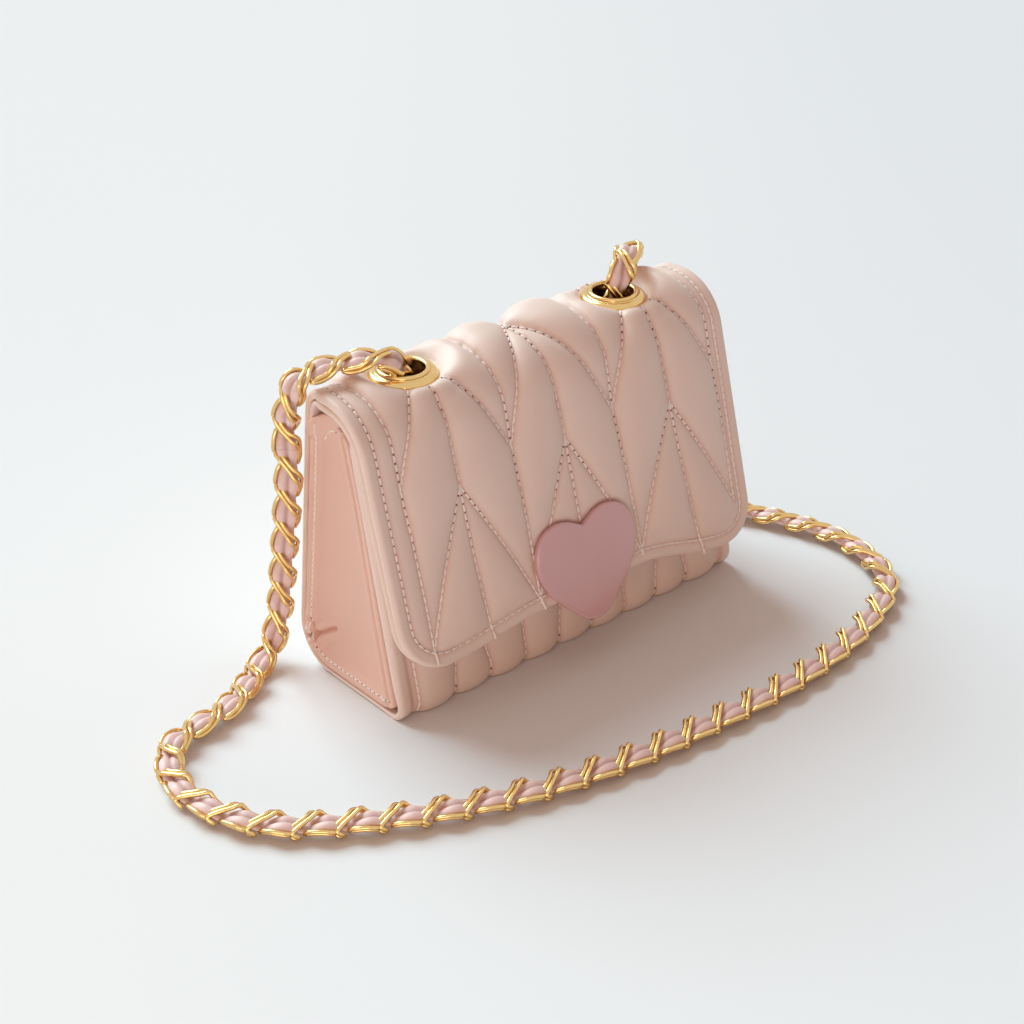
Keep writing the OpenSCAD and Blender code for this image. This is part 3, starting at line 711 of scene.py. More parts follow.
class Tree:
    """A node tree that is filled by calls."""

    def __init__(self, tree):
        self.tree = tree

    def add(self, kind, settings=None, inputs=None):
        """A node of a kind, with its settings, and the values or wires of its sockets."""
        node = self.tree.nodes.new(kind)
        for name, value in (settings or {}).items():
            if name == "stops":
                ramp = node.color_ramp
                while len(ramp.elements) < len(value):
                    ramp.elements.new(1)
                for element, (place, colour) in zip(ramp.elements, value):
                    element.position = place
                    element.color = colour
            else:
                setattr(node, name, value)
        for name, value in (inputs or {}).items():
            if isinstance(value, Wire):
                self.tree.links.new(value.socket, node.inputs[name])
            else:
                node.inputs[name].default_value = value
        return Wire(self, node, 0) if node.outputs else node

    def mixed(self, factor, a, b):
        """A colour between a and b."""
        node = self.add("ShaderNodeMix", {"data_type": "RGBA"}, {0: factor, 6: a, 7: b}).node
        return Wire(self, node, 2)


def colour(red, green, blue):
    """A colour given as it looks, from 0 to 255, turned to the light it stands for."""
    return tuple(((c / 255 + 0.055) / 1.055) ** 2.4 for c in (red, green, blue)) + (1.0,)


def material(name):
    """A new material and the tree and shader in it."""
    made = bpy.data.materials.new(name)
    made.use_nodes = True
    tree = Tree(made.node_tree)
    shader = made.node_tree.nodes["Principled BSDF"]
    return made, tree, shader


def set_inputs(tree, shader, **inputs):
    """Values or wires into a shader's sockets, by their names with _ for a space."""
    for name, value in inputs.items():
        socket = shader.inputs[name.replace("_", " ")]
        if isinstance(value, Wire):
            tree.tree.links.new(value.socket, socket)
        else:
            socket.default_value = value


def leather(name, base, deep, light, grain_size=0.9, rough=0.44):
    """Smooth coated leather: fine grain, soft pores, and painted shade, darker and pinker, in its creases.
    """
    made, tree, shader = material(name)
    place = tree.add("ShaderNodeTexCoord").out("Object")
    cells = tree.add("ShaderNodeTexVoronoi", {"feature": "DISTANCE_TO_EDGE"},
                     {"Vector": place, "Scale": 1000 / grain_size})
    fine = tree.add("ShaderNodeTexNoise", {}, {"Vector": place, "Scale": 2600.0, "Detail": 3.0})
    broad = tree.add("ShaderNodeTexNoise", {}, {"Vector": place, "Scale": 38.0, "Detail": 4.0})
    # Painted shade: the deep tone is mixed in along the seams' creases, by a mask kept on the points
    crease = tree.add("ShaderNodeAttribute", {"attribute_name": "crease"}).out("Fac")
    tone = tree.mixed(crease * 0.85, base, deep)
    tone = tree.mixed((broad - 0.35) * 0.55, tone, light)
    grain = tree.add("ShaderNodeMapRange", {}, {"Value": cells, "From Max": 0.25})
    tone = tree.mixed((1 - grain) * 0.05, tone, deep)
    bump = tree.add("ShaderNodeBump", {}, {
        "Height": grain * 0.6 + fine * 0.5 + broad * 3.0, "Strength": 0.22, "Distance": 0.00012})
    set_inputs(tree, shader, Base_Color=tone, Roughness=rough + broad * 0.1 - crease * 0.05, Normal=bump,
               Coat_Weight=0.12, Coat_Roughness=0.32)
    return made


def cloth(name, base, deep):
    """Fine lining twill."""
    made, tree, shader = material(name)
    place = tree.add("ShaderNodeTexCoord").out("Object")
    weave = tree.add("ShaderNodeTexWave", {"wave_type": "BANDS", "bands_direction": "DIAGONAL"},
                     {"Vector": place, "Scale": 420.0, "Distortion": 0.6, "Detail": 1.0})
    cross = tree.add("ShaderNodeTexNoise", {}, {"Vector": place, "Scale": 900.0, "Detail": 2.0})
    tone = tree.mixed(weave * 0.5 + cross * 0.3, base, deep)
    bump = tree.add("ShaderNodeBump", {},
                    {"Height": weave + cross * 0.5, "Strength": 0.35, "Distance": 0.0001})
    set_inputs(tree, shader, Base_Color=tone, Roughness=0.62 + cross * 0.15, Normal=bump)
    return made


def metal(name, base, deep, rough, scratch=0.05):
    """Plated metal: bright, with faint wear and a warmer tone where it is duller."""
    made, tree, shader = material(name)
    place = tree.add("ShaderNodeTexCoord").out("Object")
    wear = tree.add("ShaderNodeTexNoise", {}, {"Vector": place, "Scale": 260.0, "Detail": 5.0})
    tone = tree.mixed(wear * 0.6, base, deep)
    bump = tree.add("ShaderNodeBump", {}, {"Height": wear, "Strength": scratch, "Distance": 0.0002})
    set_inputs(tree, shader, Base_Color=tone, Metallic=1.0, Roughness=rough + wear * 0.12, Normal=bump)
    return made


def enamel(name, base, deep):
    """Thick glossy enamel with a slight ripple."""
    made, tree, shader = material(name)
    place = tree.add("ShaderNodeTexCoord").out("Object")
    cloud = tree.add("ShaderNodeTexNoise", {}, {"Vector": place, "Scale": 45.0, "Detail": 2.0})
    tone = tree.mixed(cloud * 0.5, base, deep)
    bump = tree.add("ShaderNodeBump", {}, {"Height": cloud, "Strength": 0.12, "Distance": 0.0006})
    set_inputs(tree, shader, Base_Color=tone, Roughness=0.2 + cloud * 0.08, Normal=bump, Coat_Weight=0.7,
               Coat_Roughness=0.06)
    return made


def thread(name, base, deep):
    """Twisted sewing thread."""
    made, tree, shader = material(name)
    place = tree.add("ShaderNodeTexCoord").out("Object")
    ply = tree.add("ShaderNodeTexNoise", {}, {"Vector": place, "Scale": 3200.0, "Detail": 2.0})
    bump = tree.add("ShaderNodeBump", {}, {"Height": ply, "Strength": 0.5, "Distance": 0.0001})
    set_inputs(tree, shader, Base_Color=tree.mixed(ply, base, deep), Roughness=0.5 + ply * 0.2, Normal=bump)
    return made


def matt(name, base, deep, scale):
    """Dull stuff: board and wadding out of sight, and the dark marks of painted shade in the needle holes.
    """
    made, tree, shader = material(name)
    place = tree.add("ShaderNodeTexCoord").out("Object")
    fibre = tree.add("ShaderNodeTexNoise", {}, {"Vector": place, "Scale": scale, "Detail": 4.0})
    set_inputs(tree, shader, Base_Color=tree.mixed(fibre, base, deep), Roughness=0.8 + fibre * 0.1)
    return made


# The deep tones are painted shade in creases and grooves, and also the pores' tone
blush = leather("blush_leather", colour(240, 218, 206), colour(224, 178, 162), colour(246, 229, 220))
gusset_leather = leather(
    "gusset_leather", colour(236, 198, 182), colour(220, 160, 142), colour(242, 212, 199))
ribbon_leather = leather(
    "ribbon_leather", colour(243, 213, 208), colour(196, 140, 132), colour(248, 226, 221), 0.6)
lining_cloth = cloth("lining_cloth", colour(224, 190, 180), colour(204, 162, 152))
gold = metal("pale_gold", colour(242, 206, 140), colour(216, 168, 100), 0.1)
steel = metal("washer_steel", colour(196, 194, 188), colour(160, 158, 154), 0.3)
rose = enamel("rose_enamel", colour(226, 180, 182), colour(216, 166, 170))
blush_thread = thread("blush_thread", colour(255, 251, 247), colour(248, 234, 226))
# Painted shade in the needle holes
needle_hole_shade = matt("needle_holes", colour(136, 84, 68), colour(108, 64, 52), 900.0)
card = matt("grey_board", colour(186, 180, 166), colour(166, 160, 146), 300.0)
wadding = matt("white_wadding", colour(240, 238, 230), colour(226, 224, 216), 500.0)


def dress(piece, made):
    """Gives a piece its one material."""
    piece.data.materials.clear()
    piece.data.materials.append(made)
    return piece


# Geometry trees: rows of stitches, and the bent wires of the chain's links

THREAD_SIDES = 6
WIRE_SIDES = 8
ARCH_STEPS = 5
ARCH_TOP = 1.6
LONGEST_ROW = 10.0


def geometry_tree(name, inputs):
    """A new geometry tree with a mesh in and out, and its named inputs."""
    group = bpy.data.node_groups.new(name, "GeometryNodeTree")
    group.interface.new_socket("Geometry", in_out="INPUT", socket_type="NodeSocketGeometry")
    for label, kind in inputs:
        group.interface.new_socket(label, in_out="INPUT", socket_type=kind)
    group.interface.new_socket("Geometry", in_out="OUTPUT", socket_type="NodeSocketGeometry")
    tree = Tree(group)
    return group, tree, tree.add("NodeGroupInput")


def rotation_along(tree):
    """Turns a repeated piece along its line, with its top towards the line's own up."""
    tangent = tree.add("GeometryNodeInputTangent")
    up = tree.add("GeometryNodeInputNamedAttribute", {"data_type": "FLOAT_VECTOR"}, {"Name": "up"})
    return tree.add("FunctionNodeAxesToRotation", {"primary_axis": "X", "secondary_axis": "Z"},
                    {"Primary Axis": tangent, "Secondary Axis": up})


def stitch_tree():
    """Arched threads along lines."""
    group, tree, given = geometry_tree("stitch_rows", [
        ("Pitch", "NodeSocketFloat"), ("Length", "NodeSocketFloat"), ("Radius", "NodeSocketFloat"),
        ("Arch", "NodeSocketFloat"), ("Start", "NodeSocketFloat"), ("Material", "NodeSocketMaterial")])
    line = tree.add("GeometryNodeMeshToCurve", {}, {"Mesh": given.out("Geometry")})
    line = tree.add("GeometryNodeTrimCurve", {"mode": "LENGTH"},
                    {"Curve": line, 4: given.out("Start"), 5: LONGEST_ROW})
    line = tree.add("GeometryNodeResampleCurve", {"mode": "LENGTH"},
                    {"Curve": line, "Length": given.out("Pitch")})
    half = given.out("Length") * 0.5
    low = given.out("Arch") * -1.0
    start = tree.add("ShaderNodeCombineXYZ", {}, {"X": half * -1.0, "Z": low})
    middle = tree.add("ShaderNodeCombineXYZ", {}, {"Z": given.out("Arch") * ARCH_TOP})
    end = tree.add("ShaderNodeCombineXYZ", {}, {"X": half, "Z": low})
    arch = tree.add("GeometryNodeCurveQuadraticBezier", {},
                    {"Resolution": ARCH_STEPS, "Start": start, "Middle": middle, "End": end})
    section = tree.add("GeometryNodeCurvePrimitiveCircle", {},
                       {"Resolution": THREAD_SIDES, "Radius": given.out("Radius")})
    one = tree.add("GeometryNodeCurveToMesh", {},
                   {"Curve": arch, "Profile Curve": section, "Fill Caps": True})
    rows = tree.add("GeometryNodeInstanceOnPoints", {},
                    {"Points": line, "Instance": one, "Rotation": rotation_along(tree)})
    done = tree.add("GeometryNodeRealizeInstances", {}, {"Geometry": rows})
    done = tree.add("GeometryNodeSetMaterial", {}, {"Geometry": done, "Material": given.out("Material")})
    tree.add("NodeGroupOutput", {}, {"Geometry": done})
    return group


def wire_tree():
    """Round wire along rings of edges."""
    group, tree, given = geometry_tree("bent_wires", [
        ("Wire Radius", "NodeSocketFloat"), ("Material", "NodeSocketMaterial")])
    line = tree.add("GeometryNodeMeshToCurve", {}, {"Mesh": given.out("Geometry")})
    section = tree.add("GeometryNodeCurvePrimitiveCircle", {},
                       {"Resolution": WIRE_SIDES, "Radius": given.out("Wire Radius")})
    done = tree.add("GeometryNodeCurveToMesh", {}, {"Curve": line, "Profile Curve": section})
    done = tree.add("GeometryNodeRealizeInstances", {}, {"Geometry": done})
    done = tree.add("GeometryNodeSetShadeSmooth", {}, {"Geometry": done})
    done = tree.add("GeometryNodeSetMaterial", {}, {"Geometry": done, "Material": given.out("Material")})
    tree.add("NodeGroupOutput", {}, {"Geometry": done})
    return group


STITCHES = stitch_tree()
WIRES = wire_tree()


def edge_object(name, lines, closed=False):
    """Lines as one mesh of edges."""
    edges, start = [], 0
    for line in lines:
        n = len(line)
        edges += [(start + i, start + (i + 1) % n) for i in range(n if closed else n - 1)]
        start += n
    mesh = bpy.data.meshes.new(name)
    mesh.from_pydata((np.concatenate(lines) * MM).tolist(), edges, [])
    piece = bpy.data.objects.new(name, mesh)
    bpy.context.scene.collection.objects.link(piece)
    return piece


def line_object(name, lines):
    """Lines with their up directions, as one mesh of edges."""
    piece = edge_object(name, [line for line, _ in lines])
    ups = np.concatenate([up for _, up in lines])
    attribute = piece.data.attributes.new("up", "FLOAT_VECTOR", "POINT")
    attribute.data.foreach_set("vector", ups.astype(np.float32).ravel())
    return piece


def grown(piece, group, **values):
    """Runs a geometry tree on a piece and keeps the plain mesh that it makes."""
    change = piece.modifiers.new("tree", "NODES")
    change.node_group = group
    for item in group.interface.items_tree:
        label = item.name.replace(" ", "_").lower()
        if item.in_out == "INPUT" and label in values:
            change[item.identifier] = values[label]
    finish_modifiers(piece)
    if "up" in piece.data.attributes:
        piece.data.attributes.remove(piece.data.attributes["up"])
    return piece


# Sewing, with finer stitches on the gussets, the pocket and the tabs
STITCH_PITCH = 2.9
STITCH_LENGTH = 2.5
STITCH_R = 0.4
STITCH_ARCH = 0.3
# Needle holes: short dark pieces, painted shade in the holes beside the stitches
HOLE_LENGTH = 0.45
HOLE_R = 0.3
HOLE_ARCH = 0.02
HOLE_START = 0.01
FINE_SEWING = {"pitch": 2.3, "size": 0.75}
WRAP_LIFT = 0.22
POINTS_PER_MM = 1.3
FINE_LIFT = 0.05


def sewn(name, lines, settle, pitch=STITCH_PITCH, size=1.0):
    """Rows of stitches and, between them, dark marks that paint the shade in the needle holes: two pieces,
    both put on by settle.
    """
    threads = grown(line_object(name, lines), STITCHES, pitch=pitch * MM,
                    length=STITCH_LENGTH * pitch / STITCH_PITCH * MM, radius=STITCH_R * size * MM,
                    arch=STITCH_ARCH * size * MM, start=0.5 * pitch * MM, material=blush_thread)
    holes = grown(line_object(name + "_holes", lines), STITCHES, pitch=pitch * MM, length=HOLE_LENGTH * MM,
                  radius=HOLE_R * size * MM, arch=HOLE_ARCH * MM, start=HOLE_START * MM,
                  material=needle_hole_shade)
    for piece in (threads, holes):
        settle(piece)


def laid(line, place, level, lift):
    """A sewn line lifted off a surface: its points and their up directions."""
    a, b = line[:, 0], line[:, 1]
    low = place(a, b, level(a, b) + lift)
    return low, unit(place(a, b, level(a, b) + lift + 1) - low)


def on_wrap(line):
    """A sewn line on the leather of the flap, back, base or front."""
    line = resampled(line, max(3, int(len(line) * POINTS_PER_MM)))
    return laid(line, wrap_place, wrap_height, WRAP_LIFT)


# Camera, at the photograph's angle

EYE = (-0.40518, -0.45802, 0.39152)
TARGET = (0.0, 0.00645, 0.0371)
LENS = 70.3


def make_camera():
    camera = bpy.data.objects.new("camera", bpy.data.cameras.new("camera"))
    bpy.context.scene.collection.objects.link(camera)
    camera.location = EYE
    camera.rotation_euler = (Vector(TARGET) - Vector(EYE)).to_track_quat("-Z", "Y").to_euler()
    camera.data.lens = LENS
    camera.data.clip_start = 0.01
    bpy.context.scene.camera = camera


make_camera()

# Strap: the route of the woven chain in stretches, with the way that its face looks at each point

ROUTE_LEFT = [
    (-47, 8.5, 90.5), (-47, 8.5, 98), (-48, 6.5, 106.5), (-53.5, 4.5, 114.4), (-62, 8, 115.6),
    (-72, 12, 115.2), (-83, 13, 114), (-85.5, 14.5, 108.5), (-85, 19.5, 96), (-85, 19.5, 88),
]
ROUTE_RUN = [
    (-85, 19.5, 88), (-85, 19.5, 78), (-85, 25, 46), (-85.5, 31, 15), (-93, 30, 3.8),
    (-117, 15, 3.8), (-144, 8, 3.8), (-155, -16, 3.8), (-144, -46, 3.8), (-112, -69, 3.8),
    (-76, -85, 3.8), (-38, -94, 3.8), (2, -98, 3.8), (42, -98.5, 3.8), (80, -92, 3.8),
    (109, -77, 3.8), (119, -47, 3.8), (109, -13, 3.8), (91, 16, 3.8), (75, 35, 9),
    (69.5, 26.5, 74), (69.5, 26.5, 84),
]
ROUTE_RIGHT = [
    (69.5, 26.5, 84), (69.5, 26.5, 92), (69.3, 26, 101.5), (65, 17.5, 113.5), (58, 10, 120.3),
    (51, 5, 120.3), (47.6, 3.6, 115), (47, 5.5, 107), (47, 8.5, 98), (47, 8.5, 90.5),
]
FACE_UP = (0, 0, 1)
FACE_LEFT = (-0.72, -0.68, 0.1)
FACE_BACK = (0.3, 1, 0)
FACE_FRONT = (-0.5, -0.85, 0)
FACES_LEFT = [
    FACE_FRONT, FACE_FRONT, (-0.2, -0.9, 0.4), (-0.2, -0.5, 0.9), (0, -0.3, 1),
    (0, -0.2, 1), (-0.5, -0.3, 0.8), (-0.9, -0.4, 0.2), FACE_LEFT, FACE_LEFT,
]
FACES_RUN = (
    [FACE_LEFT] * 3 + [(-0.7, -0.5, 0.4), (-0.2, -0.2, 1)] + [FACE_UP] * 14
    + [(0.4, 0.6, 0.6)] + [FACE_BACK] * 2
)
FACES_RIGHT = [
    FACE_BACK, FACE_BACK, (0.4, 0.9, 0.2), (0.4, 0.3, 0.9), (-0.1, -0.1, 1),
    (-0.5, -0.6, 0.7), FACE_FRONT, FACE_FRONT, FACE_FRONT, FACE_FRONT,
]


# Faces ride along with the route at this small scale, so that they don't count in its length
FACE_SCALE = 1e-3
SPARE_POINTS = 8


class Path:
    """A smooth line through a route, with its tangents, faces and distances."""

    def __init__(self, route, faces):
        route, faces = np.array(route, float), np.array(faces, float)
        rough = np.linalg.norm(np.diff(route, axis=0), axis=1).sum()
        both = np.concatenate([route, faces * FACE_SCALE], axis=1)
        joined = rounded_line(both, int(rough) + SPARE_POINTS)
        self.points = joined[:, :3]
        steps = np.linalg.norm(np.diff(self.points, axis=0), axis=1)
        self.along = np.concatenate([[0], np.cumsum(steps)])
        self.length = self.along[-1]
        self.tangents = unit(np.gradient(self.points, axis=0))
        face = joined[:, 3:] / FACE_SCALE
        self.ups = unit(face - (face * self.tangents).sum(1, keepdims=True) * self.tangents)
        self.knots = max(1, round(self.length / LINK_PITCH))
        self.pitch = self.length / self.knots

    def frame(self, at):
        """Centres, sides and ups at distances along the line, which runs on straight past its ends."""
        centre, tangent, up = (
            np.stack([np.interp(at, self.along, values[:, k]) for k in range(3)], -1)
            for values in (self.points, self.tangents, self.ups)
        )
        past = (at - np.clip(at, 0, self.length))[..., None]
        return centre + past * tangent, unit(np.cross(up, tangent)), up


# Wire loops of one link about its knot: along the strap, across it and up from it. Each point of
# a loop's middle line comes with the direction in which its two wires stand apart, and half the gap.
LINK_LOOPS = [
    [
        ((-1.8, -3.4, -1.7), (0.5, -0.2, 0.8), 0.6), ((-3.4, -3.7, -1.2), (0.4, -0.4, 0.8), 0.85),
        ((-4.2, -3.2, 0.0), (0.4, -0.8, 0.4), 0.95), ((-3.0, -2.1, 1.4), (0.7, -0.7, 0), 0.8),
        ((-1.0, -0.4, 2.1), (0.8, -0.6, 0), 0.75), ((0.8, 1.3, 2.5), (0.8, -0.6, 0), 0.8),
        ((2.3, 2.9, 2.7), (0.7, -0.6, 0.3), 1.1), ((4.0, 3.9, 2.0), (0.3, -0.5, 0.8), 1.0),
        ((6.4, 3.8, 0.0), (0, -0.3, 0.95), 0.75), ((9.6, 3.5, -0.8), (0, -0.3, 0.95), 0.7),
        ((12.2, 2.8, -1.0), (0, -0.3, 0.95), 0.6),
    ],
    [
        ((-0.4, -2.4, -0.8), (0, -0.4, 0.9), 0.6), ((2.2, -3.3, 0.0), (0, -0.5, 0.85), 0.8),
        ((5.2, -3.8, 0.2), (0, -0.5, 0.85), 0.85), ((7.4, -3.9, -0.1), (0, -0.5, 0.85), 0.8),
        ((9.0, -3.2, -0.6), (0, -0.5, 0.85), 0.7),
    ],
]
LOOP_STEP = 0.8

# How sharply a loop's two wires close on each other at its ends, and the share that they close
LOOP_END_POWER = 8
LOOP_END_SHARE = 0.97


def link_wires(path, count):
    """The middle lines of the links' wires, bent along the strap and kept off the floor."""
    wires = []
    for loop in LINK_LOOPS:
        rough = np.array([[*place, *apart, gap] for place, apart, gap in loop])
        n = int(np.linalg.norm(np.diff(rough[:, :3], axis=0), axis=1).sum() / LOOP_STEP)
        line = rounded_line(rough, n)
        gap = line[:, 6] * np.sqrt(1 - LOOP_END_SHARE * np.linspace(-1, 1, n) ** LOOP_END_POWER)
        apart = unit(line[:, 3:6]) * gap[:, None]
        ring = np.concatenate([line[:, :3] + apart, (line[:, :3] - apart)[::-1]])
        for knot in (np.arange(count) + 0.5) * path.pitch:
            centre, side, up = path.frame(knot + ring[:, 0])
            wire = centre + side * ring[:, 1:2] + up * ring[:, 2:3]
            wire[:, 2] = np.maximum(wire[:, 2], LINK_WIRE / 2 + FLOOR_GAP)
            wires.append(wire)
    return wires


# Ribbon: its rings, its pinch at the D-ring, and its section at a knot and between two knots
RIBBON_SIDES = 24
RIBBON_STEP = 0.7
PINCH_L = 9
PINCH_SHARE = 0.32
PUFF_SHARPNESS = 1.3
KNOT_W_SHARE = 0.74
KNOT_HALF_T = 0.8
KNOT_LIFT = -0.7
PUFF_HALF_T = 1.8
PUFF_LIFT = 0.8
RIBBON_SQUARENESS = 0.8
GROOVE_SHARE = 0.5
GROOVE_W_SHARE = 0.16


def ribbon(name, path, ring_end):
    """The leather ribbon: two folded edges side by side, puffed between the knots, and pinched
    where it passes through the link at its D-ring."""
    n = int(path.length / RIBBON_STEP)
    at = np.linspace(0, path.length, n)
    to_ring = {None: PINCH_L, "start": at, "end": path.length - at}[ring_end]
    pinch = PINCH_SHARE + (1 - PINCH_SHARE) * smooth(to_ring / PINCH_L)
    centre, side, up = path.frame(at)
    puff = np.abs(np.cos(math.pi * at / path.pitch)) ** PUFF_SHARPNESS
    half_w = RIBBON_W / 2 * (KNOT_W_SHARE + (1 - KNOT_W_SHARE) * puff) * pinch
    half_t = (KNOT_HALF_T + (PUFF_HALF_T - KNOT_HALF_T) * puff) * pinch
    lift = (KNOT_LIFT + (PUFF_LIFT - KNOT_LIFT) * puff) * pinch
    a = 2 * math.pi * np.arange(RIBBON_SIDES) / RIBBON_SIDES
    across = np.sign(np.cos(a)) * np.abs(np.cos(a)) ** RIBBON_SQUARENESS
    groove = hump(across, GROOVE_W_SHARE)
    height = np.sin(a) * (1 - GROOVE_SHARE * groove)
    rings = (
        centre[:, None]
        + side[:, None] * (half_w[:, None] * across[None])[..., None]
        + up[:, None] * (lift[:, None] + half_t[:, None] * height[None])[..., None]
    )
    piece = capped(name, rings)
    # The groove, sunk between the two folded edges, is also painted darker, as shade in it
    paint_points(piece, "crease", np.tile(groove, n))
    return dress(piece, ribbon_leather)


def strap_part(name, route, faces, settle, ring_end=None):
    """One stretch of the strap: its ribbon and its links."""
    path = Path(route, faces)
    band = ribbon(name + "_ribbon", path, ring_end)
    count = path.knots - (1 if ring_end == "end" else 0)
    links = grown(edge_object(name + "_links", link_wires(path, count), closed=True), WIRES,
                  wire_radius=LINK_WIRE / 2 * MM, material=gold)
    settle(band)
    settle(links)
    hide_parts(name)
    [float(c) * MM for c in route[0]]


def ride_bag(piece):
    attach(piece, "bag")


def ride_flap(piece):
    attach(piece, "flap")


def blend_between():
    """Settles a piece by baking its place into its mesh; it follows neither the bag nor the flap."""
    def settle(piece):
        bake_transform(piece)
    return settle


# The leather turns from the back to the flap between two places, and the ends of the strap stand above the
# flap's seats; these pieces are only baked where they are, and follow neither the flap nor the bag.
follow_fold = blend_between()
follow_eyelets = blend_between()
strap_part("strap_run", ROUTE_RUN, FACES_RUN, ride_bag)
strap_part("strap_end_left", ROUTE_LEFT, FACES_LEFT, follow_eyelets, "start")
strap_part("strap_end_right", ROUTE_RIGHT, FACES_RIGHT, follow_eyelets, "end")


# Leather of the flap and the back, in one piece. Grids of the leather start near the flap's edge.

LEATHER_GRID = 0.8
RIM_S = 20
PAST_FOLD = 6


def odd(n):
    """The odd number of grid lines nearest to n."""
    return int(n) // 2 * 2 + 1


def flap_depth(x, s):
    """Thickness of the outer leather and its wadding, which thins out down the back."""
    return OUTER_T + (WRAP_T - OUTER_T) * smooth((s - S_FOLD) / (S_BACK - S_FOLD + PAST_FOLD))


def make_flap_and_back():
    sides = flap_sides(EDGE_ROLL, S_SPLIT)
    grid = patch(*sides, odd(FLAP_W / LEATHER_GRID), odd((S_SPLIT - RIM_S) / LEATHER_GRID))
    piece = shell("flap_and_back", grid, wrap_place, wrap_height, flap_depth, crease=crease_at)
    dress(bored(piece), blush)
    follow_fold(piece)
    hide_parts("flap_outer", "flap_wadding", "flap_fold", "back_panel", "back_wadding")
    lines = [on_wrap(line) for line in wrap_seams]
    lines.append(on_wrap(rim_row))
    sewn("flap_and_back_stitches", lines, follow_fold)


# Layer under the flap: its gap to the outer leather, its drawn-in edge and how far its end thins
LINING_GAP = 0.25
LINING_ROLL = EDGE_ROLL * 0.9
LINING_INSET = 0.2
LINING_THINNER = 0.9
LINING_GRID_X = 2
LINING_GRID_S = 1.6


def make_flap_lining():
    """The smooth layer under the flap, which ends inside the mouth."""
    s_end = S_BACK + PAST_FOLD
    sides = flap_sides(LINING_ROLL + LINING_INSET, s_end)
    grid = patch(*sides, odd(FLAP_W / LINING_GRID_X), odd((s_end - RIM_S) / LINING_GRID_S))

    def face(x, s):
        return -flap_depth(x, s) - LINING_GAP + 0 * x

    def depth(x, s):
        thin = smooth((s - S_FOLD) / (S_BACK - S_FOLD))
        return flap_depth(x, s) + LINING_GAP + LINING_LAYER_T - LINING_THINNER * thin

    piece = shell("flap_lining_leather", grid, wrap_place, face, depth, roll=LINING_ROLL)
    dress(bored(piece), blush)
    follow_fold(piece)
    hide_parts("flap_lining")
    under = around(flap_sides(RIM_STITCH, S_FOLD))[::-1]
    low, out = laid(under, wrap_place, lambda x, s: -depth(x, s), -FINE_LIFT)
    sewn("flap_lining_stitches", [(low, -out)], follow_fold)


# The front's leather thickens over this stretch past its corner, and where it starts it is tucked
# this deep under the back's
FRONT_THICKENS = 8
TUCK = 0.5
TUCK_AFTER = 2
TUCK_L = 3


def front_depth(x, s):
    """Thickness of the base leather, and of the front leather with its wadding."""
    share = smooth((s - S_FRONT_CORNER) / (S_FRONT - S_FRONT_CORNER + FRONT_THICKENS))
    return WRAP_T + (FRONT_T - WRAP_T) * share


def make_front_and_base():
    sides = box_sides(body_half, front_low, front_high, EDGE_ROLL)
    grid = patch(*sides, odd(BAG_W / LEATHER_GRID), odd((front_high - front_low) / LEATHER_GRID))

    def tucked(x, s):
        return wrap_height(x, s) - TUCK * smooth((S_SPLIT + TUCK_AFTER - s) / TUCK_L)

    piece = shell("front_and_base", grid, wrap_place, tucked, front_depth, crease=crease_at)
    dress(piece, blush)
    ride_bag(piece)
    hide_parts("front_panel", "front_wadding", "base_panel")
    lines = [on_wrap(line) for line in front_seams if line[:, 1].max() > S_FRONT_CORNER]
    lines += [on_wrap(np.asarray(line)) for line in front_rows]
    sewn("front_stitches", lines, ride_bag)


# Gussets: sunk panels with two folded lips in front, sewn to the back and base

GUSSET_OUT = 78.3
GUSSET_FACE = 74.7
GUSSET_BACK = 72.8
GUSSET_RISE = 4.6
GUSSET_OFF_BACK = 1.7
GUSSET_OFF_FRONT = 3.6
OFF_BEFORE = 6
OFF_L = 10
GUSSET_POINTS = 60
OVER_POINTS = 40
OVER_SHARPNESS = 0.8
S_CORNER_MIDDLE = (S_BACK_CORNER + S_BASE) / 2
S_FOOT_MIDDLE = (S_FRONT_CORNER + S_FRONT) / 2


def gusset_off(s):
    """Distance of the gusset's edge from the leather's seam level."""
    to_front = smooth((s - S_FRONT_CORNER + OFF_BEFORE) / OFF_L)
    return GUSSET_OFF_BACK + (GUSSET_OFF_FRONT - GUSSET_OFF_BACK) * to_front


def body_line(s, inset):
    """Places inside the wrap's outline as (Y, Z), for an edge of the gusset."""
    return np.stack(wrap.at(s, -gusset_off(s) - inset), -1)


def gusset_sides(inset, top):
    """The gusset's four sides as (Y, Z), from the front to the back, drawn in by inset."""
    s_back_top = S_BACK + (np.interp(S_BACK, wrap.along, wrap.z) - top) / math.cos(back_lean)
    s_front_top = front_s(top)
    front_side, back_side, bottom = (
        body_line(np.linspace(low, high, GUSSET_POINTS), inset)
        for low, high in ((S_FOOT_MIDDLE, s_front_top), (S_CORNER_MIDDLE, s_back_top),
                          (S_FOOT_MIDDLE, S_CORNER_MIDDLE))
    )
    t = np.linspace(0, 1, OVER_POINTS)[:, None]
    arch = (0, GUSSET_RISE) * np.sin(math.pi * t) ** OVER_SHARPNESS
    over = front_side[-1] * (1 - t) + back_side[-1] * t + arch
    return bottom, over, front_side, back_side


def line_distance(line, y, z):
    """Distance of places to a line."""
    line = np.asarray(line, float)
    best = np.full(np.shape(y), np.inf)
    for p, q in zip(line[:-1], line[1:]):
        d = q - p
        t = np.clip(((y - p[0]) * d[0] + (z - p[1]) * d[1]) / max(d @ d, 1e-9), 0, 1)
        best = np.minimum(best, np.hypot(y - p[0] - t * d[0], z - p[1] - t * d[1]))
    return best


# Rows of stitches, the two lips in front, the groove between them as depth and width, and the hem
# at the top as rise, height and softness
GUSSET_STITCH = 3.2
HEM_STITCH = 4.6
LIP_W = 3.1
LIP_EDGE = 1.6
LIP_GROOVE = (1.5, 0.45)
HEM = (0.7, 6.4, 0.9)

